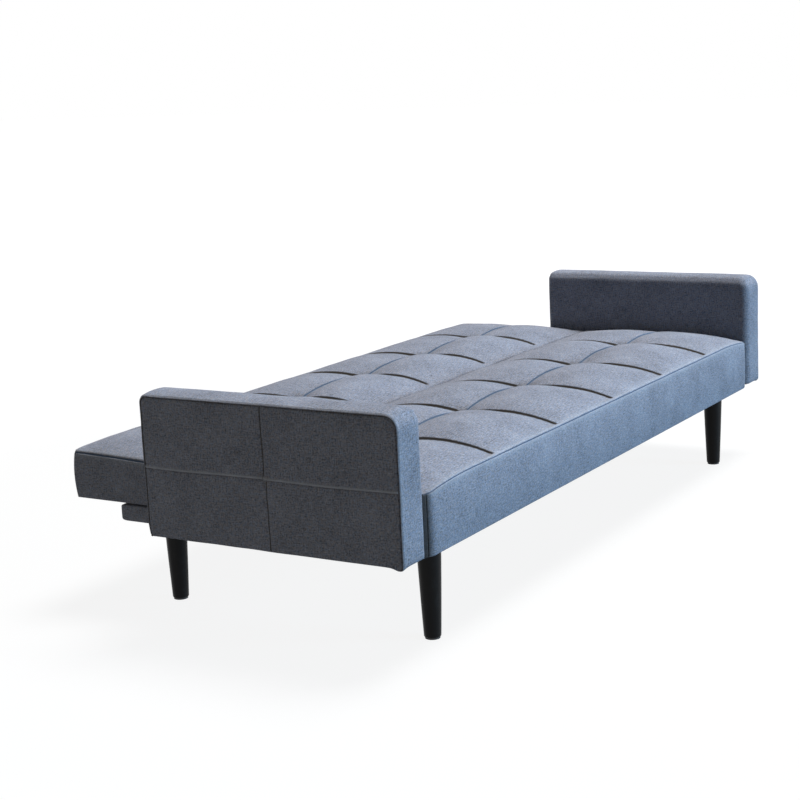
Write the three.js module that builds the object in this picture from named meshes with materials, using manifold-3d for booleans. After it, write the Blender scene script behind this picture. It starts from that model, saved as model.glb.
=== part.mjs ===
// Click clack sofa bed, lying flat as a bed, in millimetres with +Z up.
// X runs along the sofa, the front is towards -Y, and the feet stand on z = 0.
// Left is the -X end, as seen from the front.

import * as THREE from 'three';
import { mergeVertices } from 'three/addons/utils/BufferGeometryUtils.js';
import Module from 'manifold-3d';

const wasm = await Module();
wasm.setup();

// Clearances and the overrun of every cut
const SEATING_GAP = 0.3;
const RUNNING_GAP = 0.5;
const BOLT_CLEARANCE = 0.4;
const OVERRUN = 5;

// Whole sofa
const WIDTH = 1980;

// Arms
const ARM_THICKNESS = 90;
const ARM_DEPTH = 626;
const ARM_BOTTOM = 208;
const ARM_TOP = 511;
const ARM_FRONT_RADIUS = 32;
const ARM_REAR_RADIUS = 18;
const ARM_FOOT_RADIUS = 8;
const ARM_ROLL = 20;
const ARM_PUFF = 4;
const ARM_BOXING_CROWN = 5;
const ARM_PADDING = 8;
const ARM_CROSS_SETBACK = 316;
const ARM_CROSS_RISE = 151;
const CROSS_SEAM_WIDTH = 8;
const CROSS_SEAM_DEPTH = 2.5;

// Tufting of both cushions
const COLUMN_PITCH = 300;
const COLUMNS = 6;
const CUSHION_END_GAP = 3;
const DIMPLE_RISE = 13;
const SEAM_ARCH = 17.5;
const PANEL_PUFF = 6;
const TUFT_GROOVE = 2.5;
const DROOP_REACH = 180;
const PANEL_SHARES = [0, 0.08, 0.33, 0.67, 0.92];
const FINE_ROLL = 12;
const FINE_ROLL_SHARES = [0.5, 1];

// Seat cushion
const SEAT_SKIRT_BOTTOM = 204;
const SEAT_RIM = 346;
const SEAT_DEPTH = 499.5;
const SEAT_ROW_SHARE = 0.495;
const SEAT_DROOP = 14;
const SEAT_FRONT_CROWN = 6;
const SEAT_FRONT_ROLL = 5;
const SEAT_REAR_ROLL = 6;
const SEAT_FRONT_PADDING = 14;
const SEAT_REAR_PADDING = 8.5;

// Back cushion, as it lies behind the seat
const JUNCTION_GAP = 2;
const BACK_DEPTH = 403.5;
const BACK_BOTTOM = 243;
const BACK_DROOP = 4;
const BACK_REAR_RISE = 9;
const BACK_REAR_ARCH_SHARE = 0.55;
const BACK_ROW_SHARE = 0.513;
const BACK_REAR_CROWN = 8;
const BACK_REAR_ROLL = 5;
const BACK_FRONT_ROLL = 6;
const BACK_HEEL_ROLL = 20;
const BACK_FRONT_PADDING = 8.5;
const BACK_REAR_PADDING = 12;
const BACK_LINING_RECESS = 3;
const LINING = 1.5;

// Base frame and its fabric wrap
const BASE_WRAP_BOTTOM = 202.7;
const BASE_WRAP_TOP = 238.5;
const BASE_WRAP = 2;
const BASE_REAR = 777;
const BASE_CORNER = 14;
const BASE_PLANK_WIDTH = 91;
const BASE_SIDE_WIDTH = 45;
const DUST_COVER = 1.2;
const DUST_COVER_INSET = 12;

// Seat frame, back frame and their webbing
const FRAME_TOP = 300;
const FRAME_RAIL_WIDTH = 30;
const WEBBING = 2;
const STRAP_WIDTH = 50;
const LONG_STRAPS = 2;
const CROSS_STRAPS = 9;

// Legs
const LEG_INSET = 200;
const LEG_FRONT_SETBACK = 64;
const LEG_REAR_SETBACK = 718;
const LEG_TOP_RADIUS = 25.5;
const LEG_FOOT_RADIUS = 18;
const LEG_FOOT_BEVEL = 1.5;
const LEG_STUD_RADIUS = 4;
const LEG_STUD_LENGTH = 28;
const GLIDE_RADIUS = 16;
const GLIDE_THICKNESS = 3.5;

// Click clack hinges
const PIVOT_DEPTH = 14;
const PIVOT_SETBACK = 30;
const LEAF = 3;
const LEAF_HUB = 11;
const LEAF_END = 12;
const SEAT_LEAF_REACH = 115;
const BACK_LEAF_REACH = 68;
const LEAF_FALL = 50;
const LEAF_BOLT_PITCH = 20;
const PIN_RADIUS = 5;
const PIN_HEAD_RADIUS = 9;
const PIN_HEAD = 2.6;
const RATCHET_ROOT = 28;
const RATCHET_TIP = 34;
const TOOTH_ANGLES = [182, 216];
const TOOTH_SPAN = 14;
const PAWL_PIN_SETBACK = 42;
const PAWL_PIN_DROP = 26;
const PAWL_PIN_RADIUS = 3.5;
const PAWL_PIN_HEAD_RADIUS = 6;
const PAWL_HUB = 7.5;
const PAWL_BOSS = 9;
const PAWL_ELBOW_SETBACK = 27;
const PAWL_ELBOW_DROP = 38;
const PAWL_ELBOW_RADIUS = 4.5;
const PAWL_NOSE_RADIUS = 2.4;
const PAWL_REST_RADIUS = 38.4;
const PAWL_ANGLE = 250;
const SPRING_FOOT_SETBACK = 72;
const SPRING_FOOT_DROP = 36;
const SPRING_FOOT_RADIUS = 3;
const SPRING_RADIUS = 0.8;
const POCKET_CLEARANCE = 14;

// Bolts and rest pads
const BOLT_RADIUS = 3;
const BOLT_HEAD_RADIUS = 5;
const BOLT_HEAD = 2.8;
const BOLT_LENGTH = 22;
const ARM_BOLT_RADIUS = 4;
const ARM_BOLT_HEAD_RADIUS = 7;
const ARM_BOLT_HEAD = 5;
const ARM_BOLT_BITE = 30;
const ARM_BOLT_SETBACKS = [150, 450];
const REST_PAD_LENGTH = 60;
const REST_PAD_WIDTH = 36;
const REST_PAD_SETBACK = 735;
const REST_PAD_INSET = 320;

// Planes that several pieces share
const END = WIDTH / 2;
const ARM_INNER = END - ARM_THICKNESS;
const CUSHION_END = ARM_INNER - CUSHION_END_GAP;
const BACK_FRONT = SEAT_DEPTH + JUNCTION_GAP;
const BACK_REAR = BACK_FRONT + BACK_DEPTH;
const PIVOT_Y = BACK_FRONT + PIVOT_SETBACK;
const PIVOT_Z = SEAT_RIM - PIVOT_DEPTH;
const HEAD_OUT = ARM_INNER - CUSHION_END_GAP / 2;
const BACK_LEAF_OUT = HEAD_OUT - PIN_HEAD - SEATING_GAP;
const BACK_LEAF_IN = BACK_LEAF_OUT - LEAF;
const SEAT_LEAF_OUT = BACK_LEAF_IN - RUNNING_GAP;
const SEAT_LEAF_IN = SEAT_LEAF_OUT - LEAF;
const SEAT_FRAME_END = SEAT_LEAF_IN - SEATING_GAP;
const BACK_FRAME_END = BACK_LEAF_IN - SEATING_GAP;
const SEAT_FRAME_FRONT = SEAT_FRONT_PADDING + SEATING_GAP;
const SEAT_FRAME_REAR = SEAT_DEPTH - SEAT_REAR_PADDING - SEATING_GAP;
const BACK_FRAME_FRONT = BACK_FRONT + BACK_FRONT_PADDING + SEATING_GAP;
const BACK_FRAME_REAR = BACK_REAR - BACK_REAR_PADDING - SEATING_GAP;
const BACK_LINING_BOTTOM = BACK_BOTTOM + BACK_LINING_RECESS;
const BACK_FRAME_BOTTOM = BACK_LINING_BOTTOM + LINING + SEATING_GAP;
const WEBBING_TOP = FRAME_TOP + SEATING_GAP + WEBBING;
const BASE_FRONT = SEAT_FRAME_FRONT;
const BASE_END = ARM_INNER - SEATING_GAP;
const RAIL_FRONT = BASE_FRONT + BASE_WRAP + SEATING_GAP;
const RAIL_REAR = BASE_REAR - BASE_WRAP - SEATING_GAP;
const RAIL_END = BASE_END - BASE_WRAP - SEATING_GAP;
const RAIL_BOTTOM = BASE_WRAP_BOTTOM + BASE_WRAP + SEATING_GAP;
const RAIL_TOP = BASE_WRAP_TOP - BASE_WRAP - SEATING_GAP;
const SEAT_FRAME_BOTTOM = RAIL_TOP + SEATING_GAP;
const DUST_COVER_TOP = BASE_WRAP_BOTTOM - SEATING_GAP;
const DUST_COVER_BOTTOM = DUST_COVER_TOP - DUST_COVER;
const LEG_TOP = DUST_COVER_BOTTOM - SEATING_GAP;
const LEG_SETBACKS = { front: LEG_FRONT_SETBACK, rear: LEG_REAR_SETBACK };
const SIDES = { left: -1, right: 1 };

// Finishes
const finish = (colour, roughness, metalness) => ({ color: colour, roughness, metalness });
const UPHOLSTERY = finish(0x747a8a, 0.92, 0);
const TIMBER = finish(0xb99468, 0.75, 0);
const BLACK_LACQUER = finish(0x14141a, 0.35, 0);
const BLACK_PLASTIC = finish(0x1b1b1d, 0.6, 0);
const BLACK_LINING = finish(0x202124, 0.95, 0);
const WEBBING_FINISH = finish(0x9a8f7c, 0.9, 0);
const ZINC_STEEL = finish(0x9da1a6, 0.4, 0.9);
const RUBBER = finish(0x2a2a2b, 0.85, 0);

const sofa = new THREE.Group();

function add(name, geometry, look) {
  const mesh = new THREE.Mesh(geometry, new THREE.MeshStandardMaterial(look));
  mesh.name = name;
  sofa.add(mesh);
}

// Solids that are cut and joined
function toSolid(geometry) {
  const bare = geometry.clone();
  bare.deleteAttribute('normal');
  bare.deleteAttribute('uv');
  const merged = mergeVertices(bare);
  return new wasm.Manifold(new wasm.Mesh({
    numProp: 3,
    vertProperties: new Float32Array(merged.attributes.position.array),
    triVerts: new Uint32Array(merged.index.array),
  }));
}

function toGeometry(solid) {
  const mesh = solid.getMesh();
  const geometry = new THREE.BufferGeometry();
  geometry.setAttribute('position', new THREE.BufferAttribute(new Float32Array(mesh.vertProperties), 3));
  geometry.setIndex(new THREE.BufferAttribute(new Uint32Array(mesh.triVerts), 1));
  return geometry;
}

function cut(geometry, tools) {
  const start = toSolid(geometry);
  return toGeometry(tools.reduce((solid, tool) => solid.subtract(toSolid(tool)), start));
}

function join(geometries) {
  return toGeometry(geometries.map(toSolid).reduce((solid, next) => solid.add(next)));
}

// A box between any two opposite corners
function block(corner, opposite) {
  const size = corner.map((value, axis) => Math.abs(opposite[axis] - value));
  const middle = corner.map((value, axis) => (opposite[axis] + value) / 2);
  return new THREE.BoxGeometry(...size).translate(...middle);
}

// A plate outlined in the YZ plane, between two places along X
function plate(outline, fromX, toX) {
  const shape = new THREE.Shape(outline.map(([y, z]) => new THREE.Vector2(y, z)));
  const settings = { depth: Math.abs(toX - fromX), bevelEnabled: false };
  const geometry = new THREE.ExtrudeGeometry(shape, settings);
  const yzx = new THREE.Matrix4().makeBasis(
    new THREE.Vector3(0, 1, 0),
    new THREE.Vector3(0, 0, 1),
    new THREE.Vector3(1, 0, 0),
  );
  return geometry.applyMatrix4(yzx).translate(Math.min(fromX, toX), 0, 0);
}

function polar(radius, degrees) {
  const angle = THREE.MathUtils.degToRad(degrees);
  return [radius * Math.cos(angle), radius * Math.sin(angle)];
}

function arc([y, z], radius, fromDegrees, toDegrees, steps) {
  return Array.from({ length: steps + 1 }, (_, step) => {
    const [dy, dz] = polar(radius, fromDegrees + (toDegrees - fromDegrees) * step / steps);
    return [y + dy, z + dz];
  });
}

// The outline of a belt round two circles: the shape of a lever, a leaf or a strap
function belt(start, startRadius, end, endRadius) {
  const run = Math.hypot(end[0] - start[0], end[1] - start[1]);
  const heading = THREE.MathUtils.radToDeg(Math.atan2(end[1] - start[1], end[0] - start[0]));
  const spread = THREE.MathUtils.radToDeg(Math.acos((startRadius - endRadius) / run));
  return [
    ...arc(start, startRadius, heading + spread, heading + 360 - spread, 10),
    ...arc(end, endRadius, heading - spread, heading + spread, 8),
  ];
}

function rod(radius, fromX, toX, [y, z], sides = 16) {
  const geometry = new THREE.CylinderGeometry(radius, radius, Math.abs(toX - fromX), sides);
  return geometry.rotateZ(Math.PI / 2).translate((fromX + toX) / 2, y, z);
}

function post(radius, fromZ, toZ, x, y, sides = 16) {
  const geometry = new THREE.CylinderGeometry(radius, radius, toZ - fromZ, sides);
  return geometry.rotateX(Math.PI / 2).translate(x, y, (fromZ + toZ) / 2);
}

function mirrored(geometry) {
  const copy = geometry.clone().scale(-1, 1, 1);
  const corners = copy.index.array;
  for (let start = 0; start < corners.length; start += 3) {
    [corners[start], corners[start + 1]] = [corners[start + 1], corners[start]];
  }
  return copy;
}

// Padded forms start as the skin of a box with a grid on each face. The shape moves each point.
function paddedForm(grids, shape) {
  const places = [];
  const corners = [];
  const known = new Map();
  const last = grids.map((grid) => grid.length - 1);
  const corner = (steps) => {
    const key = steps.join();
    if (!known.has(key)) {
      known.set(key, known.size);
      places.push(...shape(grids.map((grid, axis) => grid[steps[axis]]), steps, last));
    }
    return known.get(key);
  };
  [0, 1, 2].forEach((axis) => {
    const [across, along] = [(axis + 1) % 3, (axis + 2) % 3];
    [0, last[axis]].forEach((level) => {
      for (let u = 0; u < last[across]; u += 1) {
        for (let v = 0; v < last[along]; v += 1) {
          const quad = [[u, v], [u + 1, v], [u + 1, v + 1], [u, v + 1]].map(([stepU, stepV]) => {
            const steps = [0, 0, 0];
            steps[axis] = level;
            steps[across] = stepU;
            steps[along] = stepV;
            return corner(steps);
          });
          const [a, b, c, d] = level === 0 ? quad.reverse() : quad;
          corners.push(a, b, c, a, c, d);
        }
      }
    });
  });
  const geometry = new THREE.BufferGeometry();
  geometry.setAttribute('position', new THREE.BufferAttribute(new Float32Array(places), 3));
  geometry.setIndex(corners);
  return geometry;
}

// Rounds the edge where the given faces meet. A face is its axis, its place and the way it looks.
function roundEdge(point, faces, radius) {
  const depths = faces.map(([axis, place, out]) => Math.max(0, radius - (place - point[axis]) * out));
  if (Math.min(...depths) <= 0) return;
  const pull = 1 - Math.max(...depths) / Math.hypot(...depths);
  faces.forEach(([axis, , out], index) => {
    point[axis] -= out * depths[index] * pull;
  });
}

// Rises from 0 at both ends of a span to 1 in its middle, and faster with a higher power
function swell(share, power) {
  return 1 - Math.abs(2 * share - 1) ** power;
}

const TUFT_POWER = 2.5;
const CROWN_POWER = 2;
const FULL_POWER = 12;

function shareOf(value, low, high) {
  return (value - low) / (high - low);
}

// The stretch of a list of lines that a value lies in
function spanOf(value, lines) {
  const after = lines.findIndex((line, index) => index > 0 && value <= line);
  const index = after < 0 ? lines.length - 1 : after;
  return { index, share: THREE.MathUtils.clamp(shareOf(value, lines[index - 1], lines[index]), 0, 1) };
}

// The height of a tufted top over its rim. The seams start at the rim, arch up and meet in dimples,
// and each panel stands puffed between its four seams. The rim can stand higher along the rear, where
// the last row arches by a share of what the other one does.
function tuftHeight(x, y, columnLines, rowLines, rearRise, rearArchShare) {
  const column = spanOf(x, columnLines);
  const row = spanOf(y, rowLines);
  const archShare = row.index === rowLines.length - 1 ? rearArchShare : 1;
  const edge = (index, lines) => index === 0 || index === lines.length - 1;
  const rim = (j) => (j === rowLines.length - 1 ? rearRise : 0);
  const knot = (i, j) => (edge(i, columnLines) || edge(j, rowLines) ? rim(j) : DIMPLE_RISE);
  const seam = (onEdge, from, to, share, fullness) => {
    const arch = onEdge ? 0 : SEAM_ARCH * fullness * swell(share, TUFT_POWER);
    return THREE.MathUtils.lerp(from, to, share) + arch;
  };
  const [left, right] = [column.index - 1, column.index];
  const [front, rear] = [row.index - 1, row.index];
  const onLeft = seam(edge(left, columnLines), knot(left, front), knot(left, rear), row.share, archShare);
  const onRight = seam(edge(right, columnLines), knot(right, front), knot(right, rear), row.share, archShare);
  const onFront = seam(edge(front, rowLines), knot(left, front), knot(right, front), column.share, 1);
  const onRear = seam(edge(rear, rowLines), knot(left, rear), knot(right, rear), column.share, 1);
  const flat = THREE.MathUtils.lerp(
    THREE.MathUtils.lerp(knot(left, front), knot(right, front), column.share),
    THREE.MathUtils.lerp(knot(left, rear), knot(right, rear), column.share),
    row.share,
  );
  const across = THREE.MathUtils.lerp(onLeft, onRight, column.share);
  const along = THREE.MathUtils.lerp(onFront, onRear, row.share);
  const puff = PANEL_PUFF * archShare * swell(column.share, TUFT_POWER) * swell(row.share, TUFT_POWER);
  const onSeam = (share) => share === 0 || share === 1;
  const inside = !edge(Math.round(column.share) + left, columnLines) && onSeam(column.share);
  const between = !edge(Math.round(row.share) + front, rowLines) && onSeam(row.share);
  return across + along - flat + puff - (inside || between ? TUFT_GROOVE : 0);
}

// A grid with the given steps in each stretch between two lines, and extra places near the edges
function gridOver(lines, extra) {
  const steps = lines.slice(1).flatMap((line, index) => {
    return PANEL_SHARES.map((share) => THREE.MathUtils.lerp(lines[index], line, share));
  });
  return [...new Set([...steps, lines.at(-1), ...extra])].sort((a, b) => a - b);
}

const INNER_LINES = Array.from({ length: COLUMNS - 1 }, (_, index) => {
  return (index + 1 - COLUMNS / 2) * COLUMN_PITCH;
});
const COLUMN_LINES = [-CUSHION_END, ...INNER_LINES, CUSHION_END];

// A tufted cushion whose cover is drawn down over its frame
function tuftedCushion({
  front, rear, rowShare, bottom, rolls, frontCrown, rearCrown, rearRise, rearArchShare, droop, droopEdge,
}) {
  const rowLines = [front, THREE.MathUtils.lerp(front, rear, rowShare), rear];
  const heights = new Set([bottom, THREE.MathUtils.lerp(bottom, SEAT_RIM, 0.5), SEAT_RIM]);
  const depths = [];
  rolls.forEach(([depthPlace, heightPlace, roll]) => {
    (roll < FINE_ROLL ? [1] : FINE_ROLL_SHARES).forEach((share) => {
      heights.add(heightPlace > bottom ? heightPlace - roll * share : heightPlace + roll * share);
      depths.push(depthPlace > front ? depthPlace - roll * share : depthPlace + roll * share);
    });
  });
  const grids = [gridOver(COLUMN_LINES, []), gridOver(rowLines, depths), [...heights].sort((a, b) => a - b)];
  return paddedForm(grids, (start, steps, last) => {
    const point = [...start];
    const rise = shareOf(start[2], bottom, SEAT_RIM);
    const spread = shareOf(start[0], -CUSHION_END, CUSHION_END);
    rolls.forEach(([depthPlace, heightPlace, roll]) => {
      const looks = [depthPlace > front ? 1 : -1, heightPlace > bottom ? 1 : -1];
      roundEdge(point, [[1, depthPlace, looks[0]], [2, heightPlace, looks[1]]], roll);
    });
    if (steps[2] === last[2]) {
      point[2] += tuftHeight(start[0], start[1], COLUMN_LINES, rowLines, rearRise, rearArchShare);
    }
    const crown = swell(rise, CROWN_POWER) * swell(spread, FULL_POWER);
    if (steps[1] === 0) point[1] -= frontCrown * crown;
    if (steps[1] === last[1]) point[1] += rearCrown * crown;
    const fromEnd = CUSHION_END - Math.abs(start[0]);
    const fromEdge = Math.abs(start[1] - droopEdge);
    const corner = Math.max(0, 1 - fromEnd / DROOP_REACH) * Math.max(0, 1 - fromEdge / DROOP_REACH);
    point[2] -= rise * droop * corner ** 2;
    return point;
  });
}

// Pockets at the ends of the cushions, which the hinges work in
function hingePockets(side) {
  const far = side * (ARM_INNER + OVERRUN);
  const reach = RATCHET_TIP + POCKET_CLEARANCE + LEAF_HUB;
  const low = PIVOT_Z - LEAF_FALL - LEAF_END - RUNNING_GAP * 2;
  const high = PIVOT_Z + BOLT_CLEARANCE * 2;
  const hubRear = PIVOT_Y + LEAF_HUB + RUNNING_GAP * 2;
  const seatEnd = side * SEAT_FRAME_END;
  return {
    seat: block(
      [seatEnd, PIVOT_Y - SEAT_LEAF_REACH - LEAF_END - RUNNING_GAP, low],
      [far, SEAT_DEPTH + OVERRUN, high],
    ),
    hub: block(
      [side * (SEAT_LEAF_IN - RUNNING_GAP * 2), BACK_FRONT - OVERRUN, PIVOT_Z - reach],
      [far, hubRear, SEAT_RIM + DIMPLE_RISE + SEAM_ARCH + OVERRUN],
    ),
    leaf: block(
      [side * BACK_FRAME_END, hubRear - OVERRUN, low],
      [far, PIVOT_Y + BACK_LEAF_REACH + LEAF_END + RUNNING_GAP, PIVOT_Z + LEAF_HUB],
    ),
  };
}

const POCKETS = Object.values(SIDES).map(hingePockets);

function seatCushion() {
  const whole = tuftedCushion({
    front: 0,
    rear: SEAT_DEPTH,
    rowShare: SEAT_ROW_SHARE,
    bottom: SEAT_SKIRT_BOTTOM,
    rolls: [[0, SEAT_RIM, SEAT_FRONT_ROLL], [SEAT_DEPTH, SEAT_RIM, SEAT_REAR_ROLL]],
    frontCrown: SEAT_FRONT_CROWN,
    rearCrown: 0,
    rearRise: 0,
    rearArchShare: 1,
    droop: SEAT_DROOP,
    droopEdge: 0,
  });
  const belowSides = BASE_WRAP_TOP + SEATING_GAP;
  const overhang = CUSHION_END + OVERRUN;
  return cut(whole, [
    block(
      [-SEAT_FRAME_END - SEATING_GAP, SEAT_FRONT_PADDING, SEAT_SKIRT_BOTTOM - OVERRUN],
      [SEAT_FRAME_END + SEATING_GAP, SEAT_FRAME_REAR + SEATING_GAP, WEBBING_TOP + SEATING_GAP],
    ),
    block(
      [-overhang, SEAT_FRONT_PADDING, SEAT_SKIRT_BOTTOM - OVERRUN],
      [overhang, SEAT_DEPTH + OVERRUN, belowSides],
    ),
    ...POCKETS.map((pockets) => pockets.seat),
  ]);
}

function backCushion() {
  const whole = tuftedCushion({
    front: BACK_FRONT,
    rear: BACK_REAR,
    rowShare: BACK_ROW_SHARE,
    bottom: BACK_BOTTOM,
    rolls: [
      [BACK_FRONT, SEAT_RIM, BACK_FRONT_ROLL],
      [BACK_FRONT, BACK_BOTTOM, BACK_HEEL_ROLL],
      [BACK_REAR, SEAT_RIM, BACK_REAR_ROLL],
    ],
    frontCrown: 0,
    rearCrown: BACK_REAR_CROWN,
    rearRise: BACK_REAR_RISE,
    rearArchShare: BACK_REAR_ARCH_SHARE,
    droop: BACK_DROOP,
    droopEdge: BACK_REAR,
  });
  return cut(whole, [
    block(
      [-BACK_FRAME_END - SEATING_GAP, BACK_FRAME_FRONT - SEATING_GAP, BACK_BOTTOM - OVERRUN],
      [BACK_FRAME_END + SEATING_GAP, BACK_FRAME_REAR + SEATING_GAP, WEBBING_TOP + SEATING_GAP],
    ),
    ...POCKETS.flatMap((pockets) => [pockets.hub, pockets.leaf]),
  ]);
}

// Arms: a padded cover with a rolled inner edge and a cross of seams on the outer face
function armCover() {
  const foot = ARM_BOTTOM;
  const crossHeight = foot + ARM_CROSS_RISE;
  const grids = [
    [ARM_INNER, ARM_INNER + ARM_ROLL / 3, ARM_INNER + ARM_ROLL * 2 / 3, ARM_INNER + ARM_ROLL,
      END - ARM_THICKNESS / 2, END],
    [0, ARM_FRONT_RADIUS / 3, ARM_FRONT_RADIUS * 2 / 3, ARM_FRONT_RADIUS, ARM_CROSS_SETBACK / 2,
      ARM_CROSS_SETBACK - CROSS_SEAM_WIDTH, ARM_CROSS_SETBACK, ARM_CROSS_SETBACK + CROSS_SEAM_WIDTH,
      (ARM_CROSS_SETBACK + ARM_DEPTH) / 2, ARM_DEPTH - ARM_REAR_RADIUS, ARM_DEPTH - ARM_REAR_RADIUS / 2,
      ARM_DEPTH],
    [foot, foot + ARM_FOOT_RADIUS, foot + ARM_CROSS_RISE / 2, crossHeight - CROSS_SEAM_WIDTH, crossHeight,
      crossHeight + CROSS_SEAM_WIDTH, (crossHeight + ARM_TOP) / 2, ARM_TOP - ARM_FRONT_RADIUS,
      ARM_TOP - ARM_FRONT_RADIUS * 2 / 3, ARM_TOP - ARM_FRONT_RADIUS / 3, ARM_TOP],
  ];
  const inner = [0, ARM_INNER, -1];
  const front = [1, 0, -1];
  const rear = [1, ARM_DEPTH, 1];
  const bottom = [2, foot, -1];
  const top = [2, ARM_TOP, 1];
  return paddedForm(grids, (start, steps, last) => {
    const point = [...start];
    [top, front, rear, bottom].forEach((face) => roundEdge(point, [inner, face], ARM_ROLL));
    roundEdge(point, [front, top], ARM_FRONT_RADIUS);
    roundEdge(point, [rear, top], ARM_REAR_RADIUS);
    roundEdge(point, [front, bottom], ARM_FOOT_RADIUS);
    roundEdge(point, [rear, bottom], ARM_FOOT_RADIUS);
    const depth = spanOf(start[1], [0, ARM_CROSS_SETBACK, ARM_DEPTH]);
    const height = spanOf(start[2], [foot, crossHeight, ARM_TOP]);
    if (steps[0] === last[0]) {
      const sewn = start[1] === ARM_CROSS_SETBACK || start[2] === crossHeight;
      point[0] += ARM_PUFF * swell(depth.share, TUFT_POWER) * swell(height.share, TUFT_POWER);
      point[0] -= sewn ? CROSS_SEAM_DEPTH : 0;
    }
    const crown = ARM_BOXING_CROWN * swell(shareOf(start[0], ARM_INNER, END), CROWN_POWER);
    if (steps[2] === last[2]) point[2] += crown;
    return point;
  });
}

function armBoltHoles(side) {
  return ARM_BOLT_SETBACKS.map((setback) => {
    const fromX = side * (RAIL_END - BASE_SIDE_WIDTH - OVERRUN);
    const toX = side * (ARM_INNER + ARM_PADDING + ARM_BOLT_BITE + SEATING_GAP);
    return rod(ARM_BOLT_RADIUS + BOLT_CLEARANCE, fromX, toX, [setback, (RAIL_BOTTOM + RAIL_TOP) / 2], 12);
  });
}

const PANEL_INNER = ARM_INNER + ARM_PADDING;
const PANEL_OUTER = END - ARM_PADDING;
const COVER_BLANK = armCover();

// The panel of an arm, or the room for it, whose top corners follow those of the cover
function armBoard(side, gap, low) {
  const front = ARM_PADDING + gap;
  const rear = ARM_DEPTH - ARM_PADDING - gap;
  const top = ARM_TOP - ARM_PADDING - gap;
  const frontRadius = ARM_FRONT_RADIUS - ARM_PADDING - gap;
  const rearRadius = ARM_REAR_RADIUS - ARM_PADDING - gap;
  const outline = [
    [front, low],
    [rear, low],
    ...arc([rear - rearRadius, top - rearRadius], rearRadius, 0, 90, 4),
    ...arc([front + frontRadius, top - frontRadius], frontRadius, 90, 180, 8),
  ];
  return plate(outline, side * (PANEL_INNER + gap), side * (PANEL_OUTER - gap));
}

Object.entries(SIDES).forEach(([name, side]) => {
  const cover = side > 0 ? COVER_BLANK : mirrored(COVER_BLANK);
  const cavity = armBoard(side, 0, ARM_BOTTOM - OVERRUN);
  const panel = armBoard(side, SEATING_GAP, ARM_BOTTOM);
  add(`arm_cover_${name}`, cut(cover, [cavity, ...armBoltHoles(side)]), UPHOLSTERY);
  add(`arm_panel_${name}`, cut(panel, armBoltHoles(side)), TIMBER);
  Object.entries({ front: 0, rear: 1 }).forEach(([place, index]) => {
    const centre = [ARM_BOLT_SETBACKS[index], (RAIL_BOTTOM + RAIL_TOP) / 2];
    const seat = side * (RAIL_END - BASE_SIDE_WIDTH - SEATING_GAP);
    const bolt = join([
      rod(ARM_BOLT_RADIUS, seat, side * (PANEL_INNER + ARM_BOLT_BITE), centre, 12),
      rod(ARM_BOLT_HEAD_RADIUS, seat - side * ARM_BOLT_HEAD, seat, centre, 6),
    ]);
    add(`arm_bolt_${place}_${name}`, bolt, ZINC_STEEL);
  });
});

add('seat_cushion', seatCushion(), UPHOLSTERY);
add('back_cushion', backCushion(), UPHOLSTERY);

// Base frame: two planks across the sofa, two side rails and a middle rail, in a fabric wrap
function legPlaces() {
  return Object.entries(LEG_SETBACKS).flatMap(([place, setback]) => {
    return Object.entries(SIDES).map(([name, side]) => {
      return { name: `${place}_${name}`, x: side * (END - LEG_INSET), y: setback };
    });
  });
}

const STUD_HOLES = legPlaces().map(({ x, y }) => {
  const toZ = LEG_TOP + LEG_STUD_LENGTH + SEATING_GAP;
  return post(LEG_STUD_RADIUS + BOLT_CLEARANCE, LEG_TOP - OVERRUN, toZ, x, y, 12);
});

const FRONT_PLANK_REAR = RAIL_FRONT + BASE_PLANK_WIDTH;
const REAR_PLANK_FRONT = RAIL_REAR - BASE_PLANK_WIDTH;

add('base_front_rail', cut(block(
  [-RAIL_END, RAIL_FRONT, RAIL_BOTTOM],
  [RAIL_END, FRONT_PLANK_REAR, RAIL_TOP],
), STUD_HOLES), TIMBER);
add('base_rear_rail', cut(block(
  [-RAIL_END, REAR_PLANK_FRONT, RAIL_BOTTOM],
  [RAIL_END, RAIL_REAR, RAIL_TOP],
), STUD_HOLES), TIMBER);
add('base_middle_rail', block(
  [-BASE_SIDE_WIDTH / 2, FRONT_PLANK_REAR + SEATING_GAP, RAIL_BOTTOM],
  [BASE_SIDE_WIDTH / 2, REAR_PLANK_FRONT - SEATING_GAP, RAIL_TOP],
), TIMBER);
Object.entries(SIDES).forEach(([name, side]) => {
  const rail = block(
    [side * (RAIL_END - BASE_SIDE_WIDTH), FRONT_PLANK_REAR + SEATING_GAP, RAIL_BOTTOM],
    [side * RAIL_END, REAR_PLANK_FRONT - SEATING_GAP, RAIL_TOP],
  );
  add(`base_${name}_rail`, cut(rail, armBoltHoles(side)), TIMBER);
});

// The wrap is open on top where the seat frame stands on the rails
function baseWrap() {
  const outline = [
    [BASE_FRONT, BASE_WRAP_BOTTOM],
    ...arc([BASE_REAR - BASE_CORNER, BASE_WRAP_BOTTOM + BASE_CORNER], BASE_CORNER, -90, 0, 5),
    [BASE_REAR, BASE_WRAP_TOP],
    [BASE_FRONT, BASE_WRAP_TOP],
  ];
  const inside = RAIL_END + SEATING_GAP;
  const room = block(
    [-inside, RAIL_FRONT - SEATING_GAP, RAIL_BOTTOM - SEATING_GAP],
    [inside, RAIL_REAR + SEATING_GAP, RAIL_TOP + SEATING_GAP],
  );
  const opening = block(
    [-BASE_END - OVERRUN, BASE_FRONT - OVERRUN, RAIL_TOP],
    [BASE_END + OVERRUN, SEAT_DEPTH - SEAT_REAR_PADDING, BASE_WRAP_TOP + OVERRUN],
  );
  const holes = Object.values(SIDES).flatMap(armBoltHoles);
  return cut(plate(outline, -BASE_END, BASE_END), [room, opening, ...holes, ...STUD_HOLES]);
}

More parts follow.
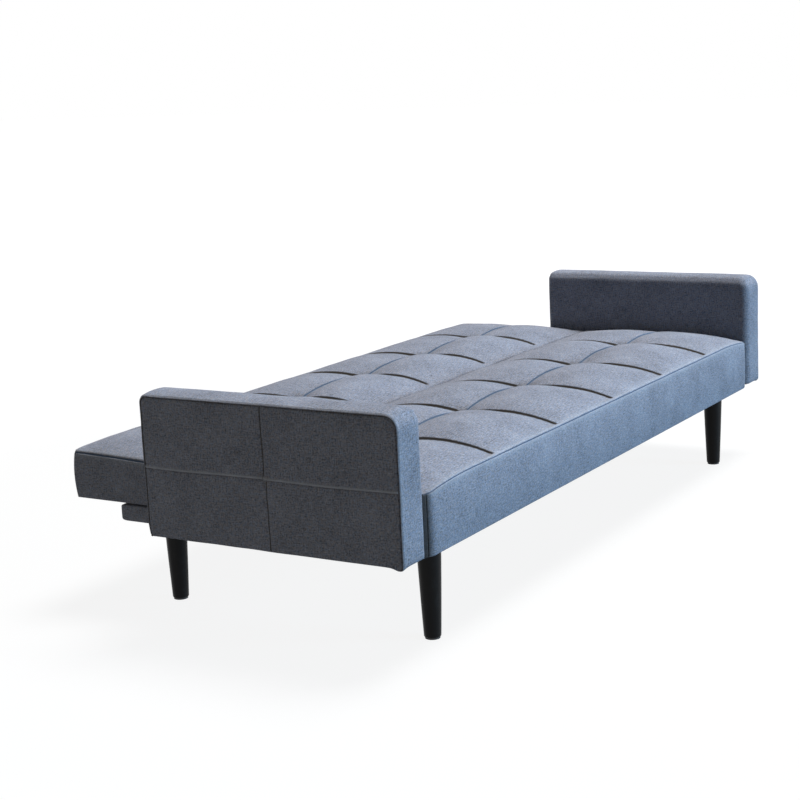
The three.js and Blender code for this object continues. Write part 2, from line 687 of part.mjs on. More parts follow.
add('base_wrap', baseWrap(), UPHOLSTERY);
add('dust_cover', cut(block(
  [DUST_COVER_INSET - BASE_END, BASE_FRONT + DUST_COVER_INSET, DUST_COVER_BOTTOM],
  [BASE_END - DUST_COVER_INSET, BASE_REAR - DUST_COVER_INSET, DUST_COVER_TOP],
), STUD_HOLES), BLACK_LINING);

// Seat frame and back frame: two long rails with two short ones between them
function addFrame(name, { end, longEnd, front, rear, bottom }) {
  const rails = {
    front_rail: [[-longEnd, front, bottom], [longEnd, front + FRAME_RAIL_WIDTH, FRAME_TOP]],
    rear_rail: [[-end, rear - FRAME_RAIL_WIDTH, bottom], [end, rear, FRAME_TOP]],
  };
  Object.entries(SIDES).forEach(([sideName, side]) => {
    rails[`${sideName}_rail`] = [
      [side * (end - FRAME_RAIL_WIDTH), front + FRAME_RAIL_WIDTH + SEATING_GAP, bottom],
      [side * end, rear - FRAME_RAIL_WIDTH - SEATING_GAP, FRAME_TOP],
    ];
  });
  Object.entries(rails).forEach(([rail, [corner, opposite]]) => {
    const tools = Object.values(SIDES).flatMap(leafBoltHoles);
    add(`${name}_${rail}`, cut(block(corner, opposite), tools), TIMBER);
  });
  add(`${name}_webbing`, webbing(longEnd, front, rear), WEBBING_FINISH);
}

// Straps woven across a frame, fastened on its long rails and its short ones
function webbing(end, front, rear) {
  const bottom = FRAME_TOP + SEATING_GAP;
  const bay = 2 * end / CROSS_STRAPS;
  const lane = (rear - front) / (LONG_STRAPS + 1);
  const cross = Array.from({ length: CROSS_STRAPS }, (_, index) => {
    const middle = (index + 0.5) * bay - end;
    return block(
      [middle - STRAP_WIDTH / 2, front, bottom],
      [middle + STRAP_WIDTH / 2, rear, bottom + WEBBING],
    );
  });
  const long = Array.from({ length: LONG_STRAPS }, (_, index) => {
    const middle = front + (index + 1) * lane;
    return block(
      [-end, middle - STRAP_WIDTH / 2, bottom],
      [end, middle + STRAP_WIDTH / 2, bottom + WEBBING],
    );
  });
  return join([...cross, ...long]);
}

// The hinge leaves, pawl and spring lie in planes across X, round the pivot
const PIVOT = [PIVOT_Y, PIVOT_Z];
const SEAT_LEAF_TAIL = [PIVOT_Y - SEAT_LEAF_REACH, PIVOT_Z - LEAF_FALL];
const BACK_LEAF_TAIL = [PIVOT_Y + BACK_LEAF_REACH, PIVOT_Z - LEAF_FALL];
const PAWL_PIN = [PIVOT_Y - PAWL_PIN_SETBACK, PIVOT_Z - PAWL_PIN_DROP];
const PAWL_ELBOW = [PIVOT_Y - PAWL_ELBOW_SETBACK, PIVOT_Z - PAWL_ELBOW_DROP];
const PAWL_NOSE = polar(PAWL_REST_RADIUS, PAWL_ANGLE).map((value, axis) => PIVOT[axis] + value);
const SPRING_FOOT = [PIVOT_Y - SPRING_FOOT_SETBACK, PIVOT_Z - SPRING_FOOT_DROP];
const SPRING_TIP = [PAWL_ELBOW[0], PAWL_ELBOW[1] - PAWL_ELBOW_RADIUS - SPRING_RADIUS - SEATING_GAP];
const LEAF_BOLTS = {
  seat: [SEAT_LEAF_TAIL, towards(SEAT_LEAF_TAIL, PIVOT, LEAF_BOLT_PITCH)],
  back: [BACK_LEAF_TAIL, towards(BACK_LEAF_TAIL, PIVOT, LEAF_BOLT_PITCH)],
};

function towards(start, end, distance) {
  const run = Math.hypot(end[0] - start[0], end[1] - start[1]);
  return start.map((value, axis) => value + (end[axis] - value) * distance / run);
}

function leafBoltHoles(side) {
  const radius = BOLT_RADIUS + BOLT_CLEARANCE;
  const rooms = { seat: SEAT_LEAF_OUT, back: BACK_LEAF_OUT };
  return Object.entries(LEAF_BOLTS).flatMap(([leaf, centres]) => centres.map((centre) => {
    const deep = side * (rooms[leaf] - BOLT_LENGTH - SEATING_GAP);
    return rod(radius, deep, side * (HEAD_OUT + OVERRUN), centre, 10);
  }));
}

function ratchet() {
  const onRatchet = (radius, angle) => polar(radius, angle).map((value, axis) => PIVOT[axis] + value);
  return [PIVOT, ...TOOTH_ANGLES.flatMap((angle) => [
    onRatchet(RATCHET_ROOT, angle),
    ...arc(PIVOT, RATCHET_TIP, angle, angle + TOOTH_SPAN, 3),
    onRatchet(RATCHET_ROOT, angle + TOOTH_SPAN),
  ])];
}

Object.entries(SIDES).forEach(([name, side]) => {
  const seatPlane = [side * SEAT_LEAF_IN, side * SEAT_LEAF_OUT];
  const backPlane = [side * BACK_LEAF_IN, side * BACK_LEAF_OUT];
  const head = [side * (BACK_LEAF_OUT + SEATING_GAP), side * HEAD_OUT];
  const across = [side * (SEAT_LEAF_IN - OVERRUN), side * (HEAD_OUT + OVERRUN)];
  const pinHole = rod(PIN_RADIUS + BOLT_CLEARANCE, ...across, PIVOT, 24);
  const pawlPinHole = rod(PAWL_PIN_RADIUS + BOLT_CLEARANCE, ...across, PAWL_PIN, 16);

  add(`hinge_seat_leaf_${name}`, cut(join([
    plate(belt(PIVOT, LEAF_HUB, SEAT_LEAF_TAIL, LEAF_END), ...seatPlane),
    plate(belt(PIVOT, LEAF_HUB, PAWL_PIN, PAWL_BOSS), ...seatPlane),
  ]), [pinHole, pawlPinHole, ...leafBoltHoles(side)]), ZINC_STEEL);
  add(`hinge_back_leaf_${name}`, cut(join([
    plate(belt(PIVOT, LEAF_HUB, BACK_LEAF_TAIL, LEAF_END), ...backPlane),
    plate(ratchet(), ...backPlane),
  ]), [pinHole, ...leafBoltHoles(side)]), ZINC_STEEL);
  add(`hinge_pin_${name}`, join([
    rod(PIN_RADIUS, side * SEAT_LEAF_IN, head[0], PIVOT, 24),
    rod(PIN_HEAD_RADIUS, ...head, PIVOT, 24),
  ]), ZINC_STEEL);

  add(`pawl_${name}`, cut(join([
    plate(belt(PAWL_PIN, PAWL_HUB, PAWL_ELBOW, PAWL_ELBOW_RADIUS), ...backPlane),
    plate(belt(PAWL_ELBOW, PAWL_ELBOW_RADIUS, PAWL_NOSE, PAWL_NOSE_RADIUS), ...backPlane),
  ]), [pawlPinHole]), ZINC_STEEL);
  add(`pawl_pin_${name}`, join([
    rod(PAWL_PIN_RADIUS, side * SEAT_LEAF_IN, head[0], PAWL_PIN),
    rod(PAWL_PIN_HEAD_RADIUS, ...head, PAWL_PIN),
  ]), ZINC_STEEL);
  const springPlane = [side * (SEAT_LEAF_OUT + SEATING_GAP), side * BACK_LEAF_OUT];
  const spring = plate(belt(SPRING_FOOT, SPRING_FOOT_RADIUS, SPRING_TIP, SPRING_RADIUS), ...springPlane);
  add(`pawl_spring_${name}`, spring, ZINC_STEEL);

  Object.entries(LEAF_BOLTS).forEach(([leaf, centres]) => {
    const seat = side * ((leaf === 'seat' ? SEAT_LEAF_OUT : BACK_LEAF_OUT) + SEATING_GAP);
    centres.forEach((centre, index) => {
      const bolt = join([
        rod(BOLT_RADIUS, seat - side * BOLT_LENGTH, seat, centre, 10),
        rod(BOLT_HEAD_RADIUS, seat, seat + side * BOLT_HEAD, centre, 6),
      ]);
      add(`${leaf}_leaf_bolt_${index + 1}_${name}`, bolt, ZINC_STEEL);
    });
  });
});

addFrame('seat', {
  end: SEAT_FRAME_END,
  longEnd: SEAT_FRAME_END,
  front: SEAT_FRAME_FRONT,
  rear: SEAT_FRAME_REAR,
  bottom: SEAT_FRAME_BOTTOM,
});
addFrame('back', {
  end: BACK_FRAME_END,
  longEnd: SEAT_LEAF_IN - RUNNING_GAP * 3,
  front: BACK_FRAME_FRONT,
  rear: BACK_FRAME_REAR,
  bottom: BACK_FRAME_BOTTOM,
});
add('back_lining', block(
  [-SEAT_FRAME_END + DUST_COVER_INSET, BACK_FRAME_FRONT + BACK_HEEL_ROLL, BACK_LINING_BOTTOM],
  [SEAT_FRAME_END - DUST_COVER_INSET, BACK_FRAME_REAR, BACK_LINING_BOTTOM + LINING],
), BLACK_LINING);

// Legs with their studs, glides under the feet, and the pads that the flat back rests on
legPlaces().forEach(({ name, x, y }) => {
  const foot = GLIDE_THICKNESS + SEATING_GAP;
  const profile = [
    [0, foot],
    [LEG_FOOT_RADIUS - LEG_FOOT_BEVEL, foot],
    [LEG_FOOT_RADIUS, foot + LEG_FOOT_BEVEL],
    [LEG_TOP_RADIUS, LEG_TOP],
    [LEG_STUD_RADIUS, LEG_TOP],
    [LEG_STUD_RADIUS, LEG_TOP + LEG_STUD_LENGTH],
    [0, LEG_TOP + LEG_STUD_LENGTH],
  ].map(([radius, height]) => new THREE.Vector2(radius, height));
  const leg = new THREE.LatheGeometry(profile, 24).rotateX(Math.PI / 2).translate(x, y, 0);
  add(`leg_${name}`, leg, BLACK_LACQUER);
  add(`glide_${name}`, post(GLIDE_RADIUS, 0, GLIDE_THICKNESS, x, y, 24), BLACK_PLASTIC);
});

Object.entries(SIDES).forEach(([name, side]) => {
  const x = side * (END - REST_PAD_INSET);
  add(`rest_pad_${name}`, block(
    [x - REST_PAD_LENGTH / 2, REST_PAD_SETBACK - REST_PAD_WIDTH / 2, BASE_WRAP_TOP + SEATING_GAP],
    [x + REST_PAD_LENGTH / 2, REST_PAD_SETBACK + REST_PAD_WIDTH / 2, BACK_LINING_BOTTOM - SEATING_GAP],
  ), RUBBER);
});

// The origin is on the floor under the middle of the whole
sofa.position.y = (SEAT_FRONT_CROWN - BACK_REAR - BACK_REAR_CROWN) / 2;

export default sofa;
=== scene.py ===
"""Click clack sofa bed, lying flat as a bed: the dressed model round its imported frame.

Everything is in metres, with +Z up, the front towards -Y and the floor at z = 0.
"""

from __future__ import annotations

import logging
import math
from dataclasses import dataclass, field
from enum import Enum

import bmesh
import bpy
import numpy as np
from mathutils import Matrix, Vector


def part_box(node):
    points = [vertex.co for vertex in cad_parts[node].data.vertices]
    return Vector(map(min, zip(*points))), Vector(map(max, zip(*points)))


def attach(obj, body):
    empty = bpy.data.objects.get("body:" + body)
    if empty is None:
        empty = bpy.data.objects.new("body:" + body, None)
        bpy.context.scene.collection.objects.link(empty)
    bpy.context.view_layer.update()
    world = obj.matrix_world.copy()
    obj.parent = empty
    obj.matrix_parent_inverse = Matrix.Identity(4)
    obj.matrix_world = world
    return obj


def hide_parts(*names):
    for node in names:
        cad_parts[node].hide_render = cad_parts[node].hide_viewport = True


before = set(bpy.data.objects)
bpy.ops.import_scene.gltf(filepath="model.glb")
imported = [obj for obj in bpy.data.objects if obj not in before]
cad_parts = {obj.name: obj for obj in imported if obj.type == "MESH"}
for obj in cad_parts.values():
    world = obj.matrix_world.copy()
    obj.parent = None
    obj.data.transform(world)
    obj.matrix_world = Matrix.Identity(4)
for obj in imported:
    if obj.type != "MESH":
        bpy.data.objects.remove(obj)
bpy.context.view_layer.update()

Colour = tuple[float, float, float]
Point = tuple[float, float, float]
Array = np.ndarray
Marks = dict[str, Array]

CLOTH_MAP = "cloth"
WELD = 0.00001
HAIR = 0.0001
log = logging.getLogger("sofa_bed")


class Body(Enum):
    """The groups that move together."""

    BASE = "base"
    BACKREST = "backrest"
    PAWL_LEFT = "pawl_left"
    PAWL_RIGHT = "pawl_right"


class Side(Enum):
    """The two ends of the sofa, as seen from the front."""

    LEFT = -1
    RIGHT = 1

    @property
    def label(self) -> str:
        """The word used in names."""
        return self.name.lower()


class Mark(Enum):
    """What is painted on the cloth, point by point: seam lines, painted shade, painted highlights and rubbed edges."""

    # dark seam lines, with painted shade in their grooves
    SEAM = "seam"
    # painted shade, tinted blue, in the row seams, pleats and rims
    STITCH = "stitch"
    # painted shade in dimples, at cushion ends and beside the arms
    SHADE = "shade"
    # rubbed edges, and painted highlights on raised ridges and edges
    RUB = "rub"


class Grain(Enum):
    """The way that timber's grain runs, as stretches along X, Y and Z."""

    ALONG_X = (0.06, 1.0, 1.0)
    ALONG_Y = (1.0, 0.06, 1.0)
    ALONG_Z = (1.0, 1.0, 0.06)


def swell(share: Array, power: float) -> Array:
    """Rises from 0 at both ends of a span to 1 in its middle."""
    return 1 - np.abs(2 * share - 1) ** power


def ease(value: Array, low: float, high: float) -> Array:
    """Goes smoothly from 0 at low to 1 at high."""
    share = np.clip((value - low) / (high - low), 0, 1)
    return share * share * (3 - 2 * share)


def hill(distance: Array, width: float) -> Array:
    """A soft hill that is 1 at no distance."""
    return np.exp(-((distance / width) ** 2))


def past_nearest(values: Array, lines: Array) -> Array:
    """How far each value lies past the line nearest to it, below 0 where it lies before it."""
    past = values[:, None] - np.asarray(lines)[None, :]
    return np.take_along_axis(past, np.argmin(np.abs(past), axis=1)[:, None], 1)[:, 0]


def pillow_edge(distance: Array, depth: float, radius: float) -> Array:
    """How far cloth drops beside a seam, where each panel rounds down to it."""
    share = np.clip(1 - distance / radius, 0, 1)
    return depth * (1 - np.sqrt(1 - share**2))


def tuck(distance: Array, drop: float, run: float, radius: float) -> Array:
    """How far cloth drops at a tuck, which one panel slopes down to and the next stands up from.

    Args:
        distance: how far a place lies past the tuck.
        drop: the depth of the tuck.
        run: the length of the slope before it.
        radius: the radius of the edge behind it.

    Returns:
        The drop at each place.
    """
    before = drop * (1 - ease(-distance, 0, run))
    return np.where(distance < 0, before, pillow_edge(distance, drop, radius))


def ripple(x: Array, y: Array, wave: float, turn: float) -> Array:
    """An uneven ripple between -1 and 1, made of three waves that never line up."""
    across = x * math.cos(turn) + y * math.sin(turn)
    along = y * math.cos(turn) - x * math.sin(turn)
    first = np.sin(across * math.tau / wave + 1.7 * np.sin(along * math.tau / (wave * 2.3)))
    second = np.sin(along * math.tau / (wave * 1.37) + 2.1)
    third = np.sin((across + along) * math.tau / (wave * 0.71) + 0.6)
    return (first + second * 0.8 + third * 0.5) / 2.3


def grid_lines(stops: list[float], beside: tuple[float, ...], pitch: float, extra: list[float]) -> Array:
    """Lines from the first stop to the last, close together beside each stop.

    Args:
        stops: the places that need the finest lines, in order.
        beside: distances from a stop at which lines lie.
        pitch: the widest step between lines.
        extra: more places that need a line and its neighbour a hair away.

    Returns:
        The places of all lines, in order.
    """
    places = set(stops)
    for low, high in zip(stops, stops[1:]):
        steps = [step for step in beside if step < (high - low) / 2]
        places.update(low + step for step in steps)
        places.update(high - step for step in steps)
        inner_low, inner_high = low + steps[-1], high - steps[-1]
        count = max(1, round((inner_high - inner_low) / pitch))
        places.update(np.linspace(inner_low, inner_high, count + 1).tolist())
    for place in extra:
        places.update((place, place + HAIR))
    ordered = np.array(sorted(places))
    keep = np.concatenate([[True], np.diff(ordered) > HAIR / 2])
    return ordered[keep]


@dataclass
class BoxSkin:
    """The skin of a box with a grid of lines on each face.

    Attributes:
        grids: the lines across X, Y and Z.
        steps: the line numbers of each point.
        start: each point before it is shaped.
        quads: the corners of each face, turned outwards.
        cloth: where each corner lies on the cloth, in metres.
    """

    grids: tuple[Array, Array, Array]
    steps: Array = field(init=False)
    start: Array = field(init=False)
    quads: Array = field(init=False)
    cloth: Array = field(init=False)

    def __post_init__(self) -> None:
        """Lays the grid on all six faces and joins them along their edges."""
        counts = [len(grid) for grid in self.grids]
        rings = []
        maps = []
        for axis, lying in enumerate(((1, 2), (0, 2), (0, 1))):
            across, along = (axis + 1) % 3, (axis + 2) % 3
            u, v = (part.ravel() for part in np.indices((counts[across] - 1, counts[along] - 1)))
            for level in (0, counts[axis] - 1):
                turns = [(0, 0), (1, 0), (1, 1), (0, 1)]
                ring = np.empty((u.size, 4, 3), int)
                for corner, (du, dv) in enumerate(turns if level else turns[::-1]):
                    ring[:, corner, axis] = level
                    ring[:, corner, across] = u + du
                    ring[:, corner, along] = v + dv
                rings.append(ring)
                maps.append(self.places(ring)[:, :, lying])
        ring = np.concatenate(rings)
        keys = np.ravel_multi_index(tuple(ring.reshape(-1, 3).T), counts)
        unique, index = np.unique(keys, return_inverse=True)
        self.quads = index.reshape(-1, 4)
        self.steps = np.stack(np.unravel_index(unique, counts), 1)
        self.start = self.places(self.steps)
        self.cloth = np.concatenate(maps).reshape(-1, 2)

    def places(self, steps: Array) -> Array:
        """The places of points, from their line numbers."""
        return np.stack([grid[steps[..., axis]] for axis, grid in enumerate(self.grids)], -1)

    def on(self, axis: int, high: bool) -> Array:
        """Which points lie on the low or the high face across an axis."""
        return self.steps[:, axis] == (len(self.grids[axis]) - 1 if high else 0)

    def raised(self, points: Array, relief: Array) -> Array:
        """Moves each point out of the surface.

        Args:
            points: the shaped points.
            relief: how far each one moves along its normal.

        Returns:
            The moved points.
        """
        a, b, c, d = (points[self.quads[:, corner]] for corner in range(4))
        facing = np.cross(c - a, d - b)
        total = np.zeros_like(points)
        for corner in range(4):
            np.add.at(total, self.quads[:, corner], facing)
        length = np.linalg.norm(total, axis=1, keepdims=True)
        return points + total / np.maximum(length, 1e-12) * relief[:, None]


def round_edge(points: Array, faces: list[tuple[int, float, int]], radius: float) -> None:
    """Rounds the edge where two faces meet.

    Args:
        points: the points, which are changed.
        faces: each face's axis, its place on it and the way it looks.
        radius: the radius of the edge.
    """
    depths = [np.maximum(0, radius - (place - points[:, axis]) * out) for axis, place, out in faces]
    both = np.minimum(*depths) > 0
    pull = 1 - np.maximum(*depths) / np.maximum(np.hypot(*depths), 1e-12)
    for (axis, _, out), depth in zip(faces, depths):
        points[:, axis] -= np.where(both, out * depth * pull, 0)


class Workbench:
    """The nodes of one material, laid out with short calls."""

    def __init__(self, name: str) -> None:
        """Starts a material that holds one Principled shader."""
        self.material = bpy.data.materials.new(name)
        self.material.use_nodes = True
        self.tree = self.material.node_tree
        self.shader = self.tree.nodes["Principled BSDF"]

    def node(self, kind: str, inputs: dict | None = None, **settings: object) -> bpy.types.Node:
        """Adds a node.

        Args:
            kind: the node's type.
            inputs: the value or the socket that goes into each input, by name or number.
            settings: the node's own options.

        Returns:
            The new node.
        """
        made = self.tree.nodes.new("ShaderNode" + kind)
        for key, value in settings.items():
            setattr(made, key, value)
        for key, value in (inputs or {}).items():
            self.feed(made.inputs[key], value)
        return made

    def feed(self, socket: bpy.types.NodeSocket, value: object) -> None:
        """Links a socket to another one, or sets its value."""
        if isinstance(value, bpy.types.NodeSocket):
            self.tree.links.new(value, socket)
        else:
            socket.default_value = value

    def scaled(self, vector: bpy.types.NodeSocket, scale: Point) -> bpy.types.NodeSocket:
        """Coordinates, multiplied along each axis."""
        return self.node("VectorMath", {0: vector, 1: scale}, operation="MULTIPLY").outputs[0]

    def noise(self, vector: bpy.types.NodeSocket, scale: float, detail: float = 2.0) -> bpy.types.NodeSocket:
        """Soft noise between 0 and 1."""
        inputs = {"Vector": vector, "Scale": scale, "Detail": detail, "Roughness": 0.6}
        return self.node("TexNoise", inputs).outputs["Fac"]

    def math(self, operation: str, first: object, second: object = 0.0) -> bpy.types.NodeSocket:
        """A sum, product or other calculation with two numbers."""
        return self.node("Math", {0: first, 1: second}, operation=operation).outputs[0]

    def total(self, *terms: tuple[bpy.types.NodeSocket, float]) -> bpy.types.NodeSocket:
        """The sum of several sockets, each times its own weight."""
        result: object = 0.0
        for socket, weight in terms:
            result = self.math("ADD", self.math("MULTIPLY", socket, weight), result)
        return result

    def spread(self, value: bpy.types.NodeSocket, low: float, high: float) -> bpy.types.NodeSocket:
        """Stretches the numbers from low to high to run from 0 to 1."""
        return self.node("MapRange", {0: value, 1: low, 2: high, 3: 0.0, 4: 1.0}).outputs[0]

    def mix(self, share: object, first: object, second: object, blend: str = "MIX") -> bpy.types.NodeSocket:
        """Mixes two colours."""
        inputs = {0: share, 6: self.paint(first), 7: self.paint(second)}
        return self.node("Mix", inputs, data_type="RGBA", blend_type=blend).outputs[2]

    @staticmethod
    def paint(colour: object) -> object:
        """A colour with its alpha, or the socket as it is."""
        return (*colour, 1.0) if isinstance(colour, tuple) else colour

    def painted(self, mark: Mark) -> bpy.types.NodeSocket:
        """What a mark says at each point."""
        return self.node("Attribute", attribute_name=mark.value).outputs["Fac"]

    def finished(self, colour: object, height: object, depth: float, **sockets: float) -> bpy.types.Material:
        """Joins the colour, the bump and the plain values to the shader.

        Args:
            colour: the base colour.
            height: the socket that raises the surface.
            depth: the bump's full height, in metres.
            sockets: plain values of the shader, by name.

        Returns:
            The material.
        """
        self.feed(self.shader.inputs["Base Color"], self.paint(colour))
        bump = self.node("Bump", {"Height": height, "Distance": depth, "Strength": 1.0})
        self.feed(self.shader.inputs["Normal"], bump.outputs[0])
        for name, value in sockets.items():
            self.feed(self.shader.inputs[name.replace("_", " ").title().replace("Ior", "IOR")], value)
        return self.material


@dataclass(frozen=True)
class Finish:
    """A finish that pieces share.

    Attributes:
        slot: the record's material slot.
    """

    slot: str = ""

    def material(self) -> bpy.types.Material:
        """Makes the finish's material."""
        raise NotImplementedError

    def dress(self, piece: bpy.types.Object) -> None:
        """Puts the finish on a piece, whose material is made once for all pieces."""
        name = f"{type(self).__name__}_{self.key()}"
        found = bpy.data.materials.get(name)
        if found is None:
            found = self.material()
            found.name = name
        piece.data.materials.clear()
        piece.data.materials.append(found)

    def key(self) -> str:
        """What tells this finish from others of its class."""
        return self.slot


@dataclass(frozen=True)
class HeatheredFabric(Finish):
    """The cloth that covers the whole sofa: pale and dark yarns in a plain weave.

    Attributes:
        dark_yarn: the darkest yarn.
        pale_yarn: the palest yarn.
        rubbed_and_highlight_yarn: the yarn where the cloth is rubbed, and the painted highlight where it stands up and
            catches the light.
        cool_tint: what the cooler yarns add.
        warm_tint: what the warmer yarns add.
        yarn: the pitch of the weave.
        slub: the length over which a yarn keeps its tone.
        fleck: the size of the flecks where yarns of one tone meet.
        cloud: the size of the slow changes over a panel.
    """

    slot: str = "upholstery"
    dark_yarn: Colour = (0.105, 0.11, 0.131)
    pale_yarn: Colour = (0.41, 0.43, 0.51)
    # rubbed yarn, also used as the painted highlight where the cloth stands up and catches the light
    rubbed_and_highlight_yarn: Colour = (0.5, 0.53, 0.6)
    cool_tint: Colour = (0.9, 0.99, 1.1)
    warm_tint: Colour = (1.09, 1.01, 0.93)
    # painted shade: the dark of the seam lines and of the shade in their grooves
    seam_dark: Colour = (0.075, 0.067, 0.058)
    # painted shade, tinted blue, in the row seams, the pleats and the rims
    stitch_blue: Colour = (0.06, 0.115, 0.2)
    # painted shade in the dimples, at the cushion ends and in the gap beside the arms
    shade_brown: Colour = (0.62, 0.58, 0.54)
    yarn: float = 0.0013
    slub: float = 0.02
    fleck: float = 0.0036
    cloud: float = 0.09

    def material(self) -> bpy.types.Material:
        """Weaves the yarns, tints them and paints the seams and the rubbed edges, with painted shade in the seams,
        dimples and corners and painted highlights on raised ridges and edges.
        """
        bench = Workbench("cloth")
        cloth = bench.node("UVMap", uv_map=CLOTH_MAP).outputs[0]
        warp = bench.noise(bench.scaled(cloth, (1 / self.yarn, 1 / self.slub, 1)), 1.0)
        weft = bench.noise(bench.scaled(cloth, (1 / self.slub, 1 / self.yarn, 1)), 1.0)
        fleck = bench.noise(cloth, 1 / self.fleck, 3.0)
        cloud = bench.noise(cloth, 1 / self.cloud, 1.0)
        tone = bench.spread(bench.total((warp, 0.34), (weft, 0.34), (fleck, 0.45), (cloud, 0.12)), 0.49, 0.76)
        yarns = bench.mix(tone, self.dark_yarn, self.pale_yarn)
        tint = bench.spread(bench.noise(cloth, 0.6 / self.fleck, 2.0), 0.35, 0.65)
        yarns = bench.mix(1.0, yarns, bench.mix(tint, self.cool_tint, self.warm_tint), "MULTIPLY")
        # rubbed edges, and painted highlights on raised ridges and edges
        yarns = bench.mix(bench.painted(Mark.RUB), yarns, self.rubbed_and_highlight_yarn)
        # painted shade, multiplied in as a brown
        yarns = bench.mix(bench.painted(Mark.SHADE), yarns, bench.mix(1.0, yarns, self.shade_brown, "MULTIPLY"))
        # painted shade, tinted blue, in the row seams, the pleats and the rims
        yarns = bench.mix(bench.painted(Mark.STITCH), yarns, self.stitch_blue)
        # dark seam lines, with painted shade in their grooves
        yarns = bench.mix(bench.painted(Mark.SEAM), yarns, self.seam_dark)
        turns = math.tau / (20 * self.yarn)
        over = bench.node("TexWave", {"Vector": cloth, "Scale": turns}, bands_direction="X").outputs["Fac"]
        under = bench.node("TexWave", {"Vector": cloth, "Scale": turns}, bands_direction="Y").outputs["Fac"]
        weave = bench.total((bench.math("MULTIPLY", over, under), 0.6), (warp, 0.4), (weft, 0.4), (fleck, 0.2))
        return bench.finished(
            yarns, weave, 0.0006, roughness=0.92, specular_ior_level=0.08, sheen_weight=0.06, sheen_roughness=0.5,
        )


@dataclass(frozen=True)
class SawnTimber(Finish):
    """Raw sawn softwood.

    Attributes:
        grain: the way that the grain runs.
    """

    slot: str = "timber"
    grain: Grain = Grain.ALONG_X
    early_wood: Colour = (0.56, 0.38, 0.19)
    late_wood: Colour = (0.33, 0.18, 0.075)
    ring: float = 0.011

    def key(self) -> str:
        """The grain tells boards apart."""
        return f"{self.slot}_{self.grain.name.lower()}"

    def material(self) -> bpy.types.Material:
        """Draws the rings out along the grain and adds saw marks across it."""
        bench = Workbench("timber")
        place = bench.node("TexCoord").outputs["Object"]
        drawn = bench.scaled(place, self.grain.value)
        rings = bench.noise(drawn, 1 / self.ring, 3.0)
        pores = bench.noise(bench.scaled(place, tuple(part * 3 for part in self.grain.value)), 260.0, 2.0)
        blotch = bench.noise(place, 6.0, 2.0)
        share = bench.spread(bench.total((rings, 0.7), (pores, 0.25), (blotch, 0.2)), 0.4, 0.75)
        saw = bench.node("TexWave", {"Vector": place, "Scale": 60.0, "Distortion": 1.5}).outputs["Fac"]
        height = bench.total((rings, 0.4), (pores, 0.5), (saw, 0.15))
        colour = bench.mix(share, self.early_wood, self.late_wood)
        return bench.finished(colour, height, 0.0005, roughness=0.74, specular_ior_level=0.3)


@dataclass(frozen=True)
class SatinLacquer(Finish):
    """Black lacquer over turned wood, faintly rippled by the brush."""

    slot: str = "leg_lacquer"
    body_black: Colour = (0.0045, 0.0045, 0.005)
    worn_black: Colour = (0.009, 0.0088, 0.009)

    def material(self) -> bpy.types.Material:
        """Ripples the lacquer along the leg and scuffs it lightly."""
        bench = Workbench("lacquer")
        place = bench.node("TexCoord").outputs["Object"]
        brushed = bench.noise(bench.scaled(place, (1.0, 1.0, 0.08)), 420.0, 2.0)
        scuffs = bench.spread(bench.noise(place, 55.0, 4.0), 0.5, 0.75)
        colour = bench.mix(scuffs, self.body_black, self.worn_black)
        gloss = bench.spread(scuffs, -2.2, 4.0)
        bench.feed(bench.shader.inputs["Roughness"], gloss)
        return bench.finished(colour, brushed, 0.00008, specular_ior_level=0.1)


@dataclass(frozen=True)
class ZincSteel(Finish):
    """Pressed steel with a thin zinc plating, clouded as such plating is."""

    slot: str = "zinc_steel"
    bright: Colour = (0.48, 0.49, 0.52)
    dull: Colour = (0.27, 0.275, 0.29)

    def material(self) -> bpy.types.Material:
        """Clouds the plating and adds the marks of the press."""
        bench = Workbench("zinc")
        place = bench.node("TexCoord").outputs["Object"]
        spangle = bench.node("TexVoronoi", {"Vector": place, "Scale": 420.0}).outputs["Distance"]
        cloud = bench.noise(place, 90.0, 4.0)
        share = bench.spread(bench.total((spangle, 0.35), (cloud, 0.8)), 0.35, 0.75)
        scratch = bench.noise(bench.scaled(place, (1.0, 0.05, 1.0)), 1400.0, 1.0)
        bench.feed(bench.shader.inputs["Roughness"], bench.spread(cloud, -0.25, 1.7))
        colour = bench.mix(share, self.bright, self.dull)
        return bench.finished(colour, bench.total((cloud, 0.4), (scratch, 0.5)), 0.00006, metallic=0.95)


@dataclass(frozen=True)
class MouldedPlastic(Finish):
    """Black moulded plastic with a fine sparked texture."""

    slot: str = "glide"
    colour: Colour = (0.013, 0.013, 0.014)
    worn: Colour = (0.035, 0.034, 0.033)

    def material(self) -> bpy.types.Material:
        """Sparks the surface and greys it where it rubs."""
        bench = Workbench("plastic")
        place = bench.node("TexCoord").outputs["Object"]
        spark = bench.noise(place, 2400.0, 1.0)
        worn = bench.spread(bench.noise(place, 130.0, 4.0), 0.5, 0.8)
        colour = bench.mix(worn, self.colour, self.worn)
        return bench.finished(colour, spark, 0.00006, roughness=0.55, specular_ior_level=0.4)


@dataclass(frozen=True)
class FirmRubber(MouldedPlastic):
    """Black rubber, dusty and matt."""

    slot: str = "pad_rubber"
    colour: Colour = (0.02, 0.02, 0.021)
    worn: Colour = (0.06, 0.058, 0.055)


